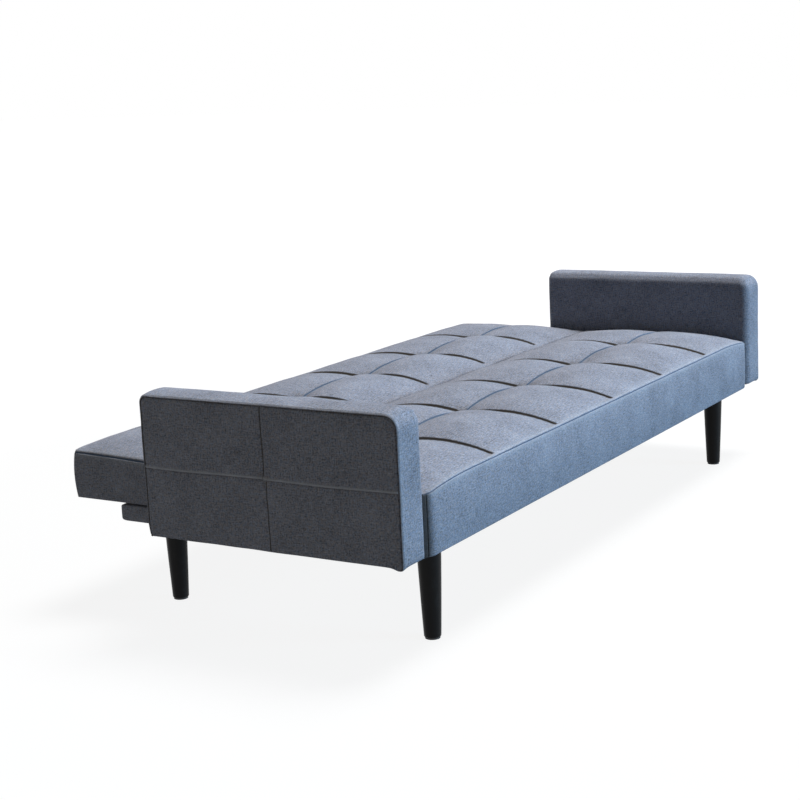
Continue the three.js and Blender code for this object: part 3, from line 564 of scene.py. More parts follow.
@dataclass(frozen=True)
class SpunLining(Finish):
    """Thin black lining of bonded fibres, with its rows of small bonded points."""

    slot: str = "lining"
    colour: Colour = (0.010, 0.010, 0.011)
    fibre: Colour = (0.035, 0.035, 0.038)
    bond_pitch: float = 0.0026

    def material(self) -> bpy.types.Material:
        """Lays the fibres and presses the bonded points into them."""
        bench = Workbench("lining")
        place = bench.node("TexCoord").outputs["Object"]
        fibres = bench.noise(bench.scaled(place, (1.0, 0.4, 1.0)), 900.0, 3.0)
        bonds = bench.node("TexVoronoi", {"Vector": place, "Scale": 1 / self.bond_pitch, "Randomness": 0.15})
        pressed = bench.spread(bonds.outputs["Distance"], 0.1, 0.5)
        colour = bench.mix(bench.spread(fibres, 0.35, 0.7), self.colour, self.fibre)
        height = bench.total((fibres, 0.6), (pressed, 0.5))
        return bench.finished(colour, height, 0.0004, roughness=0.95, specular_ior_level=0.2)


@dataclass(frozen=True)
class StrapWebbing(Finish):
    """Jute-coloured elastic straps with darker edge yarns."""

    slot: str = "webbing"
    pale: Colour = (0.42, 0.36, 0.27)
    dark: Colour = (0.2, 0.165, 0.11)
    yarn: float = 0.0022

    def material(self) -> bpy.types.Material:
        """Weaves the strap's thick yarns."""
        bench = Workbench("webbing")
        place = bench.node("TexCoord").outputs["Object"]
        turns = math.tau / (20 * self.yarn)
        over = bench.node("TexWave", {"Vector": place, "Scale": turns}, bands_direction="X").outputs["Fac"]
        under = bench.node("TexWave", {"Vector": place, "Scale": turns}, bands_direction="Y").outputs["Fac"]
        weave = bench.math("MULTIPLY", over, under)
        tone = bench.total((weave, 0.6), (bench.noise(place, 300.0, 2.0), 0.5))
        return bench.finished(
            bench.mix(bench.spread(tone, 0.15, 0.7), self.dark, self.pale), weave, 0.0006, roughness=0.9,
        )


FABRIC = HeatheredFabric()
LACQUER = SatinLacquer()
STEEL = ZincSteel()
PLASTIC = MouldedPlastic()
RUBBER = FirmRubber()
LINING = SpunLining()
WEBBING = StrapWebbing()


def make_piece(
    name: str, points: Array, faces: list, finish: Finish, body: Body, replaced: tuple[str, ...] = (),
    cloth: Array | None = None, marks: Marks | None = None,
) -> bpy.types.Object:
    """Makes a smooth piece, dresses it and sets it on its body.

    Args:
        name: the piece's name.
        points: its points, in the frame.
        faces: the corners of its faces.
        finish: what it is finished in.
        body: the body that it moves with.
        replaced: the CAD nodes that it stands for.
        cloth: where each corner lies on the cloth.
        marks: what is painted on it, point by point.

    Returns:
        The piece.
    """
    mesh = bpy.data.meshes.new(name)
    mesh.from_pydata(points.tolist(), [], faces)
    if cloth is not None:
        mesh.uv_layers.new(name=CLOTH_MAP).uv.foreach_set("vector", cloth.ravel())
    for mark, values in (marks or {}).items():
        layer = mesh.attributes.new(mark, "FLOAT", "POINT")
        layer.data.foreach_set("value", np.clip(values, 0, 1).astype(np.float32))
    mesh.polygons.foreach_set("use_smooth", np.ones(len(mesh.polygons), bool))
    shape = bmesh.new()
    shape.from_mesh(mesh)
    bmesh.ops.remove_doubles(shape, verts=shape.verts, dist=WELD)
    bmesh.ops.dissolve_degenerate(shape, edges=shape.edges, dist=WELD)
    shape.to_mesh(mesh)
    shape.free()
    piece = bpy.data.objects.new(name, mesh)
    bpy.context.scene.collection.objects.link(piece)
    finish.dress(piece)
    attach(piece, body.value)
    if replaced:
        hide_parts(*replaced)
    log.info("%s: %d faces on %s", name, len(mesh.polygons), body.value)
    return piece


@dataclass
class TuftedCushion:
    """A cushion whose cover is sewn down in two rows of six tufted panels.

    Attributes:
        node: the CAD node that it stands for.
        body: the body that it moves with.
        crowns: how far the front and the rear stand out at mid height.
        row_share: where the lengthwise seam lies between front and rear.
        top_rolls: the radii of the top's front and rear edges.
        heel_roll: the radius of the lower front edge.
        rear_rise: how much higher the rim stands along the rear.
        rear_arch_share: how far the rear row arches, as a share of what the front row does.
        end_drop: how far the top falls to the rims of both ends.
        droop: how far the outer corners hang.
        corner_radius: the radius of the outer upright corners.
        corner_shade: how strongly shade is painted on those corners, where they lie in the gap beside the arm.
        end_crown_share: how much of the crown is left at the ends.
        seam_setbacks: how far short of front and rear the cross seams stop.
        outer_is_front: whether the outer edge, which has a sewn rim, is the front one.
        skirt: the thickness of the front skirt, below which the cushion is open.
        skirt_top: how high the open part below the cushion reaches.
        cavity: the frame's room: its half length, its front and rear from the cushion's front, its top.
        pockets: each hinge pocket: its half length, front and rear from the cushion's front, low and high.
    """

    node: str
    body: Body
    crowns: tuple[float, float]
    row_share: float
    top_rolls: tuple[float, float]
    heel_roll: float
    rear_rise: float
    rear_arch_share: float
    end_drop: float
    droop: float
    corner_radius: float
    corner_shade: float
    end_crown_share: float
    seam_setbacks: tuple[float, float]
    outer_is_front: bool
    skirt: float
    skirt_top: float
    cavity: tuple[float, float, float, float]
    pockets: tuple[tuple[float, float, float, float, float], ...]
    rim: float = 0.346
    column_pitch: float = 0.3
    columns: int = 6
    dimple_rise: float = 0.013
    seam_arch: float = 0.0175
    panel_puff: float = 0.006
    tuft_power: float = 2.5
    seam_power: float = 2.0
    droop_reach: float = 0.18
    end_roll: float = 0.007
    end_slope: float = 0.045
    end_crown: float = 0.0015
    tuck_drop: float = 0.0052
    tuck_run: float = 0.075
    tuck_radius: float = 0.005
    tuck_shadow: float = 0.0027
    row_tuck_drop: float = 0.0034
    row_tuck_run: float = 0.03
    row_tuck_radius: float = 0.004
    row_tuck_shadow: float = 0.0014
    corner_seam: float = 0.0045
    dimple_depth: float = 0.0015
    dimple_width: float = 0.02
    rim_groove: float = 0.0022
    joint_relief: float = 0.0008
    joint_reach: float = 0.02
    pitch: float = 0.0075
    beside: tuple[float, ...] = (0.0007, 0.0014, 0.0021, 0.0028, 0.0036, 0.0048, 0.0065, 0.009, 0.013)

    def __post_init__(self) -> None:
        """Takes the places of the faces from the frame."""
        low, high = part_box(self.node)
        self.end = high.x
        self.front = low.y + self.crowns[0]
        self.rear = high.y - self.crowns[1]
        self.bottom = low.z
        half = self.columns / 2
        inner = [(index - half) * self.column_pitch for index in range(1, self.columns)]
        self.column_lines = np.array([-self.end, *inner, self.end])
        row = self.front + (self.rear - self.front) * self.row_share
        self.row_lines = np.array([self.front, row, self.rear])
        half_length, front, rear, top = self.cavity
        self.cavity = (half_length, self.front + front, self.front + rear, top)
        self.pockets = tuple(
            (reach, self.front + front, self.front + rear, low_z, high_z)
            for reach, front, rear, low_z, high_z in self.pockets
        )

    def skin(self) -> BoxSkin:
        """The grid, which is closest beside the seams, the rim and the hinge pockets."""
        half, front, rear, _ = self.cavity
        pocket_x = [sign * pocket[0] for pocket in self.pockets for sign in (-1, 1)]
        corner = self.end - self.corner_seam
        folds = [sign * corner + step for sign in (-1, 1) for step in (-0.0013, -0.0006, 0.0, 0.0006, 0.0013)]
        x = grid_lines(self.column_lines.tolist(), self.beside, self.pitch, [-half, half, *pocket_x, *folds])
        pocket_y = [place for pocket in self.pockets for place in pocket[1:3]]
        inside = [place for place in (front, rear, self.front + self.skirt, *pocket_y)]
        inside = [place for place in inside if self.front < place < self.rear]
        y = grid_lines(self.row_lines.tolist(), self.beside, self.pitch, inside)
        pocket_z = [place for pocket in self.pockets for place in pocket[3:5] if place < self.rim]
        z = grid_lines([self.bottom, self.rim], self.beside, 0.012, [self.skirt_top, *pocket_z])
        return BoxSkin((x, y, z))

    def tuft_height(self, x: Array, y: Array) -> Array:
        """The height of the tufted top over its rim.

        Args:
            x: places along the sofa.
            y: places across it.

        Returns:
            The height at each place.
        """
        edges = []
        shares = []
        steps = []
        for values, lines in ((x, self.column_lines), (y, self.row_lines)):
            step = np.clip(np.searchsorted(lines, values, side="right") - 1, 0, len(lines) - 2)
            steps.append(step)
            shares.append(np.clip((values - lines[step]) / (lines[step + 1] - lines[step]), 0, 1))
            edges.append(lambda index, last=len(lines) - 1: (index == 0) | (index == last))
        fullness = np.where(steps[1] == 1, self.rear_arch_share, 1)

        def knot(i: Array, j: Array) -> Array:
            """The height where two seams cross."""
            return np.where(edges[0](i) | edges[1](j), 0, self.dimple_rise)

        def seam(on_edge: Array, low: Array, high: Array, share: Array, full: Array | float = 1) -> Array:
            """The height along a seam between two crossings."""
            arch = self.seam_arch * full * swell(share, self.seam_power)
            return low + (high - low) * share + np.where(on_edge, 0, arch)

        i, j = steps
        u, v = shares
        corners = [[knot(i, j), knot(i, j + 1)], [knot(i + 1, j), knot(i + 1, j + 1)]]
        across = [seam(edges[0](i + n), corners[n][0], corners[n][1], v, fullness) for n in (0, 1)]
        along = [seam(edges[1](j + n), corners[0][n], corners[1][n], u) for n in (0, 1)]
        flat = [corners[n][0] + (corners[n][1] - corners[n][0]) * v for n in (0, 1)]
        patch = (across[0] - flat[0]) * (1 - u) + (across[1] - flat[1]) * u + along[0] * (1 - v) + along[1] * v
        return patch + self.panel_puff * fullness * swell(u, self.tuft_power) * swell(v, self.tuft_power)

    def shaped(self, skin: BoxSkin) -> Array:
        """Rolls the edges, raises the tufts and crowns the sides.

        Args:
            skin: the box's skin.

        Returns:
            Its shaped points.
        """
        start = skin.start
        points = start.copy()
        top = (2, self.rim, 1)
        front, rear = (1, self.front, -1), (1, self.rear, 1)
        round_edge(points, [front, top], self.top_rolls[0])
        round_edge(points, [rear, top], self.top_rolls[1])
        round_edge(points, [front, (2, self.bottom, -1)], self.heel_roll)
        outer = front if self.outer_is_front else rear
        for side in Side:
            end = (0, side.value * self.end, side.value)
            round_edge(points, [end, outer], self.corner_radius)
            for face in (top, rear if self.outer_is_front else front):
                round_edge(points, [end, face], self.end_roll)
        rise = (start[:, 2] - self.bottom) / (self.rim - self.bottom)
        spread = (start[:, 0] + self.end) / (2 * self.end)
        depth = (start[:, 1] - self.front) / (self.rear - self.front)
        on_top = skin.on(2, True)
        points[on_top, 2] += self.tuft_height(start[on_top, 0], start[on_top, 1])
        crown = swell(rise, 2) * (self.end_crown_share + (1 - self.end_crown_share) * swell(spread, 12))
        points[skin.on(1, False), 1] -= (self.crowns[0] * crown)[skin.on(1, False)]
        points[skin.on(1, True), 1] += (self.crowns[1] * crown)[skin.on(1, True)]
        for side, on_end in ((-1, skin.on(0, False)), (1, skin.on(0, True))):
            points[on_end, 0] += side * (self.end_crown * swell(rise, 2) * swell(depth, 6))[on_end]
        from_end = self.end - np.abs(start[:, 0])
        from_edge = np.abs(start[:, 1] - (self.front if self.outer_is_front else self.rear))
        corner = np.maximum(0, 1 - from_end / self.droop_reach) * np.maximum(0, 1 - from_edge / self.droop_reach)
        points[:, 2] -= rise * (self.droop * corner**2 + pillow_edge(from_end, self.end_drop, self.end_slope))
        row = self.row_lines[1]
        points[:, 2] += rise * self.rear_rise * np.clip((start[:, 1] - row) / (self.rear - row), 0, 1)
        return points

    def sewn(self, skin: BoxSkin) -> tuple[Array, Marks]:
        """The seams, dimples, puckers and rubbed edges, with painted shade along the seams, in the dimples and beside
        the arms and a faint painted highlight along the joint.

        Args:
            skin: the box's skin.

        Returns:
            How far each point is raised, and what is painted on it.
        """
        x, y, z = skin.start.T
        on_top = skin.on(2, True)
        row = self.row_lines[1]
        past_column, past_row = past_nearest(x, self.column_lines[1:-1]), y - row
        to_column, to_row = np.abs(past_column), np.abs(past_row)
        to_end = self.end - np.abs(x)
        to_front, to_rear = y - self.front, self.rear - y
        near_front = ease(to_front, self.seam_setbacks[0], self.seam_setbacks[0] + 0.009)
        near_rear = ease(to_rear, self.seam_setbacks[1], self.seam_setbacks[1] + 0.009)
        cross = np.where(on_top, near_front * near_rear, 0)
        length = np.where(on_top, ease(to_end, 0.0, 0.03), 0)
        outer = to_front if self.outer_is_front else to_rear
        open_edge = np.where(self.outer_is_front, 1, ease(outer, 0.004, 0.075))
        relief = -cross * open_edge * tuck(past_column, self.tuck_drop, self.tuck_run, self.tuck_radius)
        relief = relief - length * tuck(past_row, self.row_tuck_drop, self.row_tuck_run, self.row_tuck_radius)
        from_dimple = np.hypot(to_column, to_row)
        turn = np.arctan2(to_row, to_column)
        relief -= np.where(on_top, self.dimple_depth * hill(from_dimple, self.dimple_width), 0)
        relief += np.where(on_top, 0.0009 * hill(from_dimple - 0.02, 0.014) * np.cos(8 * turn), 0)
        hem = ease(z, self.bottom, self.bottom + 0.03)
        relief += np.where(on_top, 0.0005 * ripple(x, y, 0.12, 0.4), 0.0007 * hem * ripple(x + y, 0.3 * z, 0.085, 0.12))
        gather = np.exp(-to_column / 0.016) * np.sin(y * math.tau / 0.017) * cross
        relief += 0.0003 * gather
        rims = np.minimum(outer, to_end)
        to_rim = np.where(on_top, rims, np.where(outer < 0.001, self.rim - z, np.where(to_end < 0.001, self.rim - z, 1)))
        relief -= self.rim_groove * hill(to_rim, 0.0013)
        to_joint = (to_rear if self.outer_is_front else to_front) + self.rim - z
        relief -= self.joint_relief * np.exp(-to_joint / self.joint_reach)
        # painted shadow along the far flank of each cross seam, reaching six times further past the seam than before it
        width = self.tuck_shadow * (0.7 + 0.8 * to_front / (self.rear - self.front))
        shadow = 1 - ease(np.maximum(past_column, -6 * past_column) - width, -0.001, 0.001)
        begun = np.where(past_row < 0, ease(to_row, 0.001, 0.005), ease(to_row, 0.01, 0.018))
        seam = ease(cross, 0.05, 0.6) * begun * shadow
        # painted shade, tinted blue, along the steep flank of the row seam
        line = 1 - ease(np.maximum(past_row, -4 * past_row), self.row_tuck_shadow - 0.0008, self.row_tuck_shadow + 0.0008)
        stitch = length * ease(to_column, 0.006, 0.016) * line
        # a short pleat in front of each dimple, with a line of painted shade
        pleat = np.abs(y - row + 0.0045)
        pleat_line = np.where(on_top, (1 - ease(pleat, 0.0006, 0.0013)) * (1 - ease(to_column, 0.02, 0.034)), 0)
        relief -= 0.0012 * pleat_line
        on_outer = skin.on(1, not self.outer_is_front)
        beside_corner = np.where(on_outer, np.abs(to_end - self.corner_seam), 1)
        relief -= 0.0016 * hill(beside_corner, 0.0012)
        # painted shade on the outer corners and on the end faces, where they lie in the gap beside the arm
        end_face_shade = np.where(to_end < 0.001, 1 - ease(outer, 0.02, 0.045), 0)
        end_gap_shade = np.where(on_outer, 1 - ease(to_end, 0.004, 0.03), end_face_shade) * self.corner_shade
        rim_line = 1 - ease(to_rim, 0.0005, 0.0012)
        corner_line = 1 - ease(beside_corner, 0.0005, 0.0012)
        marks = {
            # dark cross seams with their painted shadow, the corner seam, and painted shade in the gap beside the arm
            Mark.SEAM.value: np.maximum(seam, 0.75 * np.maximum(corner_line, end_gap_shade**3)),
            # painted shade, tinted blue, in the row seam, the pleats and the rim
            Mark.STITCH.value: np.maximum(np.maximum(0.85 * stitch, 0.7 * pleat_line), 0.9 * rim_line),
            # painted shade in the dimples, on the slope at each end and on the corners beside the arm
            Mark.SHADE.value: np.where(
                on_top, 0.9 * hill(from_dimple, 0.03) + 0.5 * np.exp(-to_end / 0.03), 0.9 * end_gap_shade,
            ),
            # rubbed rim edge, and a faint painted highlight along the joint between seat and back
            Mark.RUB.value: 0.3 * np.exp(-np.abs(to_rim - 0.005) / 0.006) + 0.05 * np.exp(-to_joint / 0.007),
        }
        return relief, marks

    def opened(self, skin: BoxSkin, points: Array) -> None:
        """Opens the underside for the frame and the ends for the hinges.

        Args:
            skin: the box's skin.
            points: its shaped points, which are changed.
        """
        x, y, z = skin.start.T
        behind = y > self.front + self.skirt
        points[behind, 2] = np.maximum(points[behind, 2], self.skirt_top)
        half, front, rear, top = self.cavity
        room = skin.on(2, False) & (np.abs(x) < half) & (y > front) & (y < rear)
        points[room, 2] = top
        for pocket_half, pocket_front, pocket_rear, low, high in self.pockets:
            within = (y > pocket_front) & (y < pocket_rear) & (z > low) & (z < high)
            points[within, 0] = np.clip(points[within, 0], -pocket_half, pocket_half)

    def build(self) -> bpy.types.Object:
        """Makes the cushion."""
        skin = self.skin()
        relief, marks = self.sewn(skin)
        points = skin.raised(self.shaped(skin), relief)
        self.opened(skin, points)
        name = f"tufted_{self.node}"
        piece = make_piece(
            name, points, skin.quads.tolist(), FABRIC, self.body, (self.node,), skin.cloth, marks,
        )
        return piece


@dataclass
class ArmCover:
    """The padded cover of one arm, with a flat outer panel sewn in four quarters.

    Attributes:
        side: the end of the sofa that it is at.
    """

    side: Side
    front_radius: float = 0.032
    rear_radius: float = 0.018
    foot_radius: float = 0.008
    roll: float = 0.02
    outer_roll: float = 0.005
    puff: float = 0.004
    boxing_crown: float = 0.005
    padding: float = 0.008
    cross_setback: float = 0.316
    cross_rise: float = 0.151
    seam_inset: float = 0.0045
    seam_depth: float = 0.0018
    panel_drop: float = 0.0028
    panel_roll: float = 0.014
    tab_drop: float = 0.005
    tab_length: float = 0.013
    tuck_depth: float = 0.004
    tuck_height: float = 0.034
    pitch: float = 0.009
    beside: tuple[float, ...] = (
        0.001, 0.002, 0.003, 0.0038, 0.0045, 0.0052, 0.006, 0.008, 0.011, 0.015, 0.02, 0.026, 0.033,
    )

    def __post_init__(self) -> None:
        """Takes the places of the faces from the frame, as for the right-hand arm."""
        low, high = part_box(f"arm_cover_{self.side.label}")
        reach = sorted((abs(low.x), abs(high.x)))
        self.inner = reach[0]
        self.outer = reach[1] - self.puff
        self.front, self.rear = low.y, high.y
        self.foot, self.top = low.z, high.z - self.boxing_crown
        self.cross_y = self.front + self.cross_setback
        self.cross_z = self.foot + self.cross_rise

    def skin(self) -> BoxSkin:
        """The grid, which is closest at the edges and beside the cross of seams."""
        inset = self.padding
        x = grid_lines([self.inner, self.outer], self.beside, self.pitch, [self.inner + inset, self.outer - inset])
        y = grid_lines(
            [self.front, self.cross_y, self.rear], self.beside, self.pitch, [self.front + inset, self.rear - inset],
        )
        z = grid_lines([self.foot, self.cross_z, self.top], self.beside, self.pitch, [])
        return BoxSkin((x, y, z))

    def roll_rim(self, points: Array, start: Array, face: float, out: int, radius: float) -> None:
        """Rolls the rim of the inner or the outer face, round its corners too.

        Args:
            points: the points, whose corners are rounded already, and which are changed.
            start: the same points before they were shaped.
            face: the face's place along the sofa.
            out: the way it looks.
            radius: the radius of the roll.
        """
        _, y, z = start.T
        at_front, at_top = y < (self.front + self.rear) / 2, z > (self.foot + self.top) / 2
        from_side = np.where(at_front, y - self.front, self.rear - y)
        flatter = np.where(at_top, 1, max(1, radius / self.foot_radius))
        from_level = np.where(at_top, self.top - z, z - self.foot) * flatter
        upper = np.where(at_front, self.front_radius, self.rear_radius)
        corner = np.maximum(np.where(at_top, upper, self.foot_radius), radius)
        past_side, past_level = corner - from_side, corner - from_level
        in_corner = (past_side > 0) & (past_level > 0)
        side_part = np.where(in_corner, past_side, from_side < from_level)
        level_part = np.where(in_corner, past_level, from_side >= from_level)
        depth = np.maximum(0, radius - np.minimum(from_side, from_level))
        inward = np.maximum(0, radius - out * (face - points[:, 0]))
        pull = 1 - np.maximum(depth, inward) / np.maximum(np.hypot(depth, inward), 1e-12)
        pull = np.where((depth > 0) & (inward > 0), pull, 0)
        drawn = depth * pull / np.hypot(side_part, level_part)
        points[:, 0] -= out * inward * pull
        points[:, 1] += np.where(at_front, 1, -1) * side_part * drawn
        points[:, 2] += np.where(at_top, -1, 1) * level_part * drawn / flatter

    def shaped(self, skin: BoxSkin) -> Array:
        """Rounds the corners, puffs the quarters and hangs the small tab.

        Args:
            skin: the box's skin.

        Returns:
            Its shaped points.
        """
        start = skin.start
        points = start.copy()
        front, rear = (1, self.front, -1), (1, self.rear, 1)
        foot, top = (2, self.foot, -1), (2, self.top, 1)
        round_edge(points, [front, top], self.front_radius)
        round_edge(points, [rear, top], self.rear_radius)
        round_edge(points, [front, foot], self.foot_radius)
        round_edge(points, [rear, foot], self.foot_radius)
        self.roll_rim(points, start, self.inner, -1, self.roll)
        self.roll_rim(points, start, self.outer, 1, self.outer_roll)
        _, y, z = start.T
        depth = np.where(
            y < self.cross_y, (y - self.front) / self.cross_setback, (y - self.cross_y) / (self.rear - self.cross_y),
        )
        height = np.where(
            z < self.cross_z, (z - self.foot) / self.cross_rise, (z - self.cross_z) / (self.top - self.cross_z),
        )
        on_outer = skin.on(0, True)
        points[on_outer, 0] += (self.puff * swell(depth, 4) * swell(height, 4))[on_outer]
        across = (start[:, 0] - self.inner) / (self.outer - self.inner)
        crown = self.boxing_crown * swell(across, 2)
        points[skin.on(2, True), 2] += crown[skin.on(2, True)]
        from_corner = np.hypot(y - self.front - self.tab_length, self.outer - start[:, 0])
        tab = hill(from_corner, self.tab_length) * (1 - ease(z, self.foot, self.foot + 0.02))
        points[:, 2] -= self.tab_drop * tab
        past_panel = ease(y, self.rear - self.padding, self.rear)
        tuck = (1 - ease(z, self.foot, self.foot + self.tuck_height)) * past_panel
        points[:, 1] -= self.tuck_depth * tuck
        return points

    def sewn(self, skin: BoxSkin) -> tuple[Array, Marks]:
        """The edge seam of the outer panel and the cross of seams on it, with painted shade along the seams and round
        their crossing and a painted highlight on the lapped ridge.

        Args:
            skin: the box's skin.

        Returns:
            How far each point is raised, and what is painted on it.
        """
        x, y, z = skin.start.T
        on_outer = skin.on(0, True)
        inward = np.minimum(np.minimum(y - self.front, self.rear - y), self.top - z)
        corner = self.front_radius
        past_y, past_z = corner - (y - self.front), corner - (self.top - z)
        in_corner = (past_y > 0) & (past_z > 0)
        inward = np.where(in_corner, corner - np.maximum(past_y, past_z), inward)
        to_edge = np.where(on_outer, np.abs(inward - self.seam_inset), 1)
        relief = -self.seam_depth * hill(to_edge, 0.0013)
        panel = on_outer & (inward > self.seam_inset)
        relief -= np.where(panel, pillow_edge(inward - self.seam_inset, self.panel_drop, self.panel_roll), 0)
        up = z - self.cross_z
        bend = 0.004 * np.sin(up * 9) + 0.0045 * np.sign(up) * np.exp(-np.abs(up) / 0.014)
        to_upright = np.where(panel, np.abs(y - self.cross_y - bend), 1)
        along = y - self.cross_y
        wave = 0.0011 * np.sin(along * 17 + 0.8) + 0.0016 * np.sign(along) * np.exp(-np.abs(along) / 0.02)
        to_level = np.where(panel, up - wave, 1)
        knot = np.where(panel, hill(np.hypot(y - self.cross_y, z - self.cross_z), 0.006), 0)
        relief -= pillow_edge(to_upright, 0.0034, 0.009)
        relief += np.where(panel, 0.0024 * hill(to_level, 0.0022) - 0.0012 * hill(to_level + 0.004, 0.0018), 0)
        relief += 0.0012 * knot
        puckers = np.exp(-np.abs(to_level) / 0.022) * np.sin(y * math.tau / 0.021 + 2 * np.sin(y * 31))
        relief += np.where(panel, 0.00035 * puckers, 0)
        pull = np.exp(-to_upright / 0.02) * np.sin(z * math.tau / 0.024 + np.sin(z * 47))
        relief += np.where(panel, 0.0003 * pull, 0)
        relief += 0.0005 * ripple(y + 0.3 * x, z + 0.4 * x, 0.12, 0.5)
        # dark seam lines with painted shade in their grooves; the line below the lapped ridge is its painted shadow
        upright = 1 - ease(to_upright, 0.0008, 0.0017)
        below = np.where(panel, 1 - ease(np.abs(to_level + 0.0032), 0.0006, 0.0014), 0)
        edge_line = 1 - ease(to_edge, 0.0006, 0.0014)
        edges = np.where(on_outer, np.abs(inward), self.outer - x)
        marks = {
            Mark.SEAM.value: np.maximum(np.maximum(0.85 * edge_line, 0.9 * upright), 0.45 * below) * (1 - knot),
            # painted shade round the crossing of the seams
            Mark.SHADE.value: np.where(panel, 0.5 * hill(np.hypot(y - self.cross_y, z - self.cross_z), 0.018), 0),
            # painted highlight on the lapped ridge and the crossing; paler near the outer panel's edge elsewhere
            Mark.RUB.value: np.where(
                panel, 0.9 * hill(to_level - 0.0004, 0.0022) + 0.5 * knot, 0.2 * np.exp(-np.maximum(edges, 0) / 0.006),
            ),
        }
        return relief, marks

    def build(self) -> bpy.types.Object:
        """Makes the cover round its panel, mirrored for the left-hand arm."""
        skin = self.skin()
        relief, marks = self.sewn(skin)
        points = skin.raised(self.shaped(skin), relief)
        x, y, _ = skin.start.T
        inset = self.padding
        room = skin.on(2, False) & (x > self.inner + inset) & (x < self.outer - inset)
        room &= (y > self.front + inset) & (y < self.rear - inset)
        ceiling = np.full(len(points), self.top - inset)
        for run, radius in ((y - self.front, self.front_radius), (self.rear - y, self.rear_radius)):
            radius -= inset
            past = np.clip(radius - (run - inset), 0, radius)
            ceiling -= radius - np.sqrt(radius**2 - past**2)
        points[room, 2] = ceiling[room]
        quads = skin.quads
        cloth = skin.cloth.reshape(-1, 4, 2)
        if self.side is Side.LEFT:
            points[:, 0] *= -1
            quads = quads[:, ::-1]
            cloth = cloth[:, ::-1]
        name = f"padded_arm_{self.side.label}"
        replaced = (f"arm_cover_{self.side.label}",)
        piece = make_piece(name, points, quads.tolist(), FABRIC, Body.BASE, replaced, cloth, marks)
        return piece


@dataclass
class WrappedBase:
    """The cloth and thin wadding wrapped round the base planks."""

    node: str = "base_wrap"
    cloth_thickness: float = 0.002
    rear_corner: float = 0.014
    edge_roll: float = 0.004
    opening_depth: float = 0.4767
    opening_drop: float = 0.0023
    inner_inset: float = 0.0023
    pitch: float = 0.011
    beside: tuple[float, ...] = (0.0015, 0.003, 0.0045, 0.007, 0.01, 0.014, 0.019)

    def build(self) -> bpy.types.Object:
        """Makes the outer skin and the room for the planks inside it."""
        low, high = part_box(self.node)
        split = low.y + self.opening_depth
        x = grid_lines([low.x, high.x], self.beside, self.pitch, [])
        y = grid_lines([low.y, high.y], self.beside, self.pitch, [split])
        z = grid_lines([low.z, high.z], self.beside[:4], self.pitch, [])
        skin = BoxSkin((x, y, z))
        points = skin.start.copy()
        bottom, top, rear = (2, low.z, -1), (2, high.z, 1), (1, high.y, 1)
        round_edge(points, [rear, bottom], self.rear_corner)
        round_edge(points, [rear, top], self.edge_roll)
        for side in Side:
            end = (0, side.value * high.x, side.value)
            for face in (bottom, rear, top):
                round_edge(points, [end, face], self.edge_roll)
        sx, sy, sz = skin.start.T
        relief = 0.0005 * ripple(sx + sy, sz + 0.5 * sy, 0.1, 0.3)
        points = skin.raised(points, np.where(skin.on(2, False), 0, relief))
        lowered = skin.on(2, True) & (sy < split + HAIR / 2)
        points[lowered, 2] = high.z - self.opening_drop
        room = BoxSkin(tuple(
            np.array([float(edge_low) + self.inner_inset, float(edge_high) - self.inner_inset])
            for edge_low, edge_high in ((low.x, high.x), (low.y, high.y), (low.z, high.z - self.opening_drop))
        ))
        quads = np.concatenate([skin.quads, room.quads[:, ::-1] + len(points)])
        cloth = np.concatenate([skin.cloth, room.cloth])
        # painted highlight along the rear and bottom edges
        rub = np.exp(-np.minimum(high.y - sy, sz - low.z) / 0.006) * 0.25
        marks = {Mark.RUB.value: np.concatenate([rub, np.zeros(len(room.start))])}
        points = np.concatenate([points, room.start])
        piece = make_piece(
            "wrapped_base", points, quads.tolist(), FABRIC, Body.BASE, (self.node,), cloth, marks,
        )
        return piece


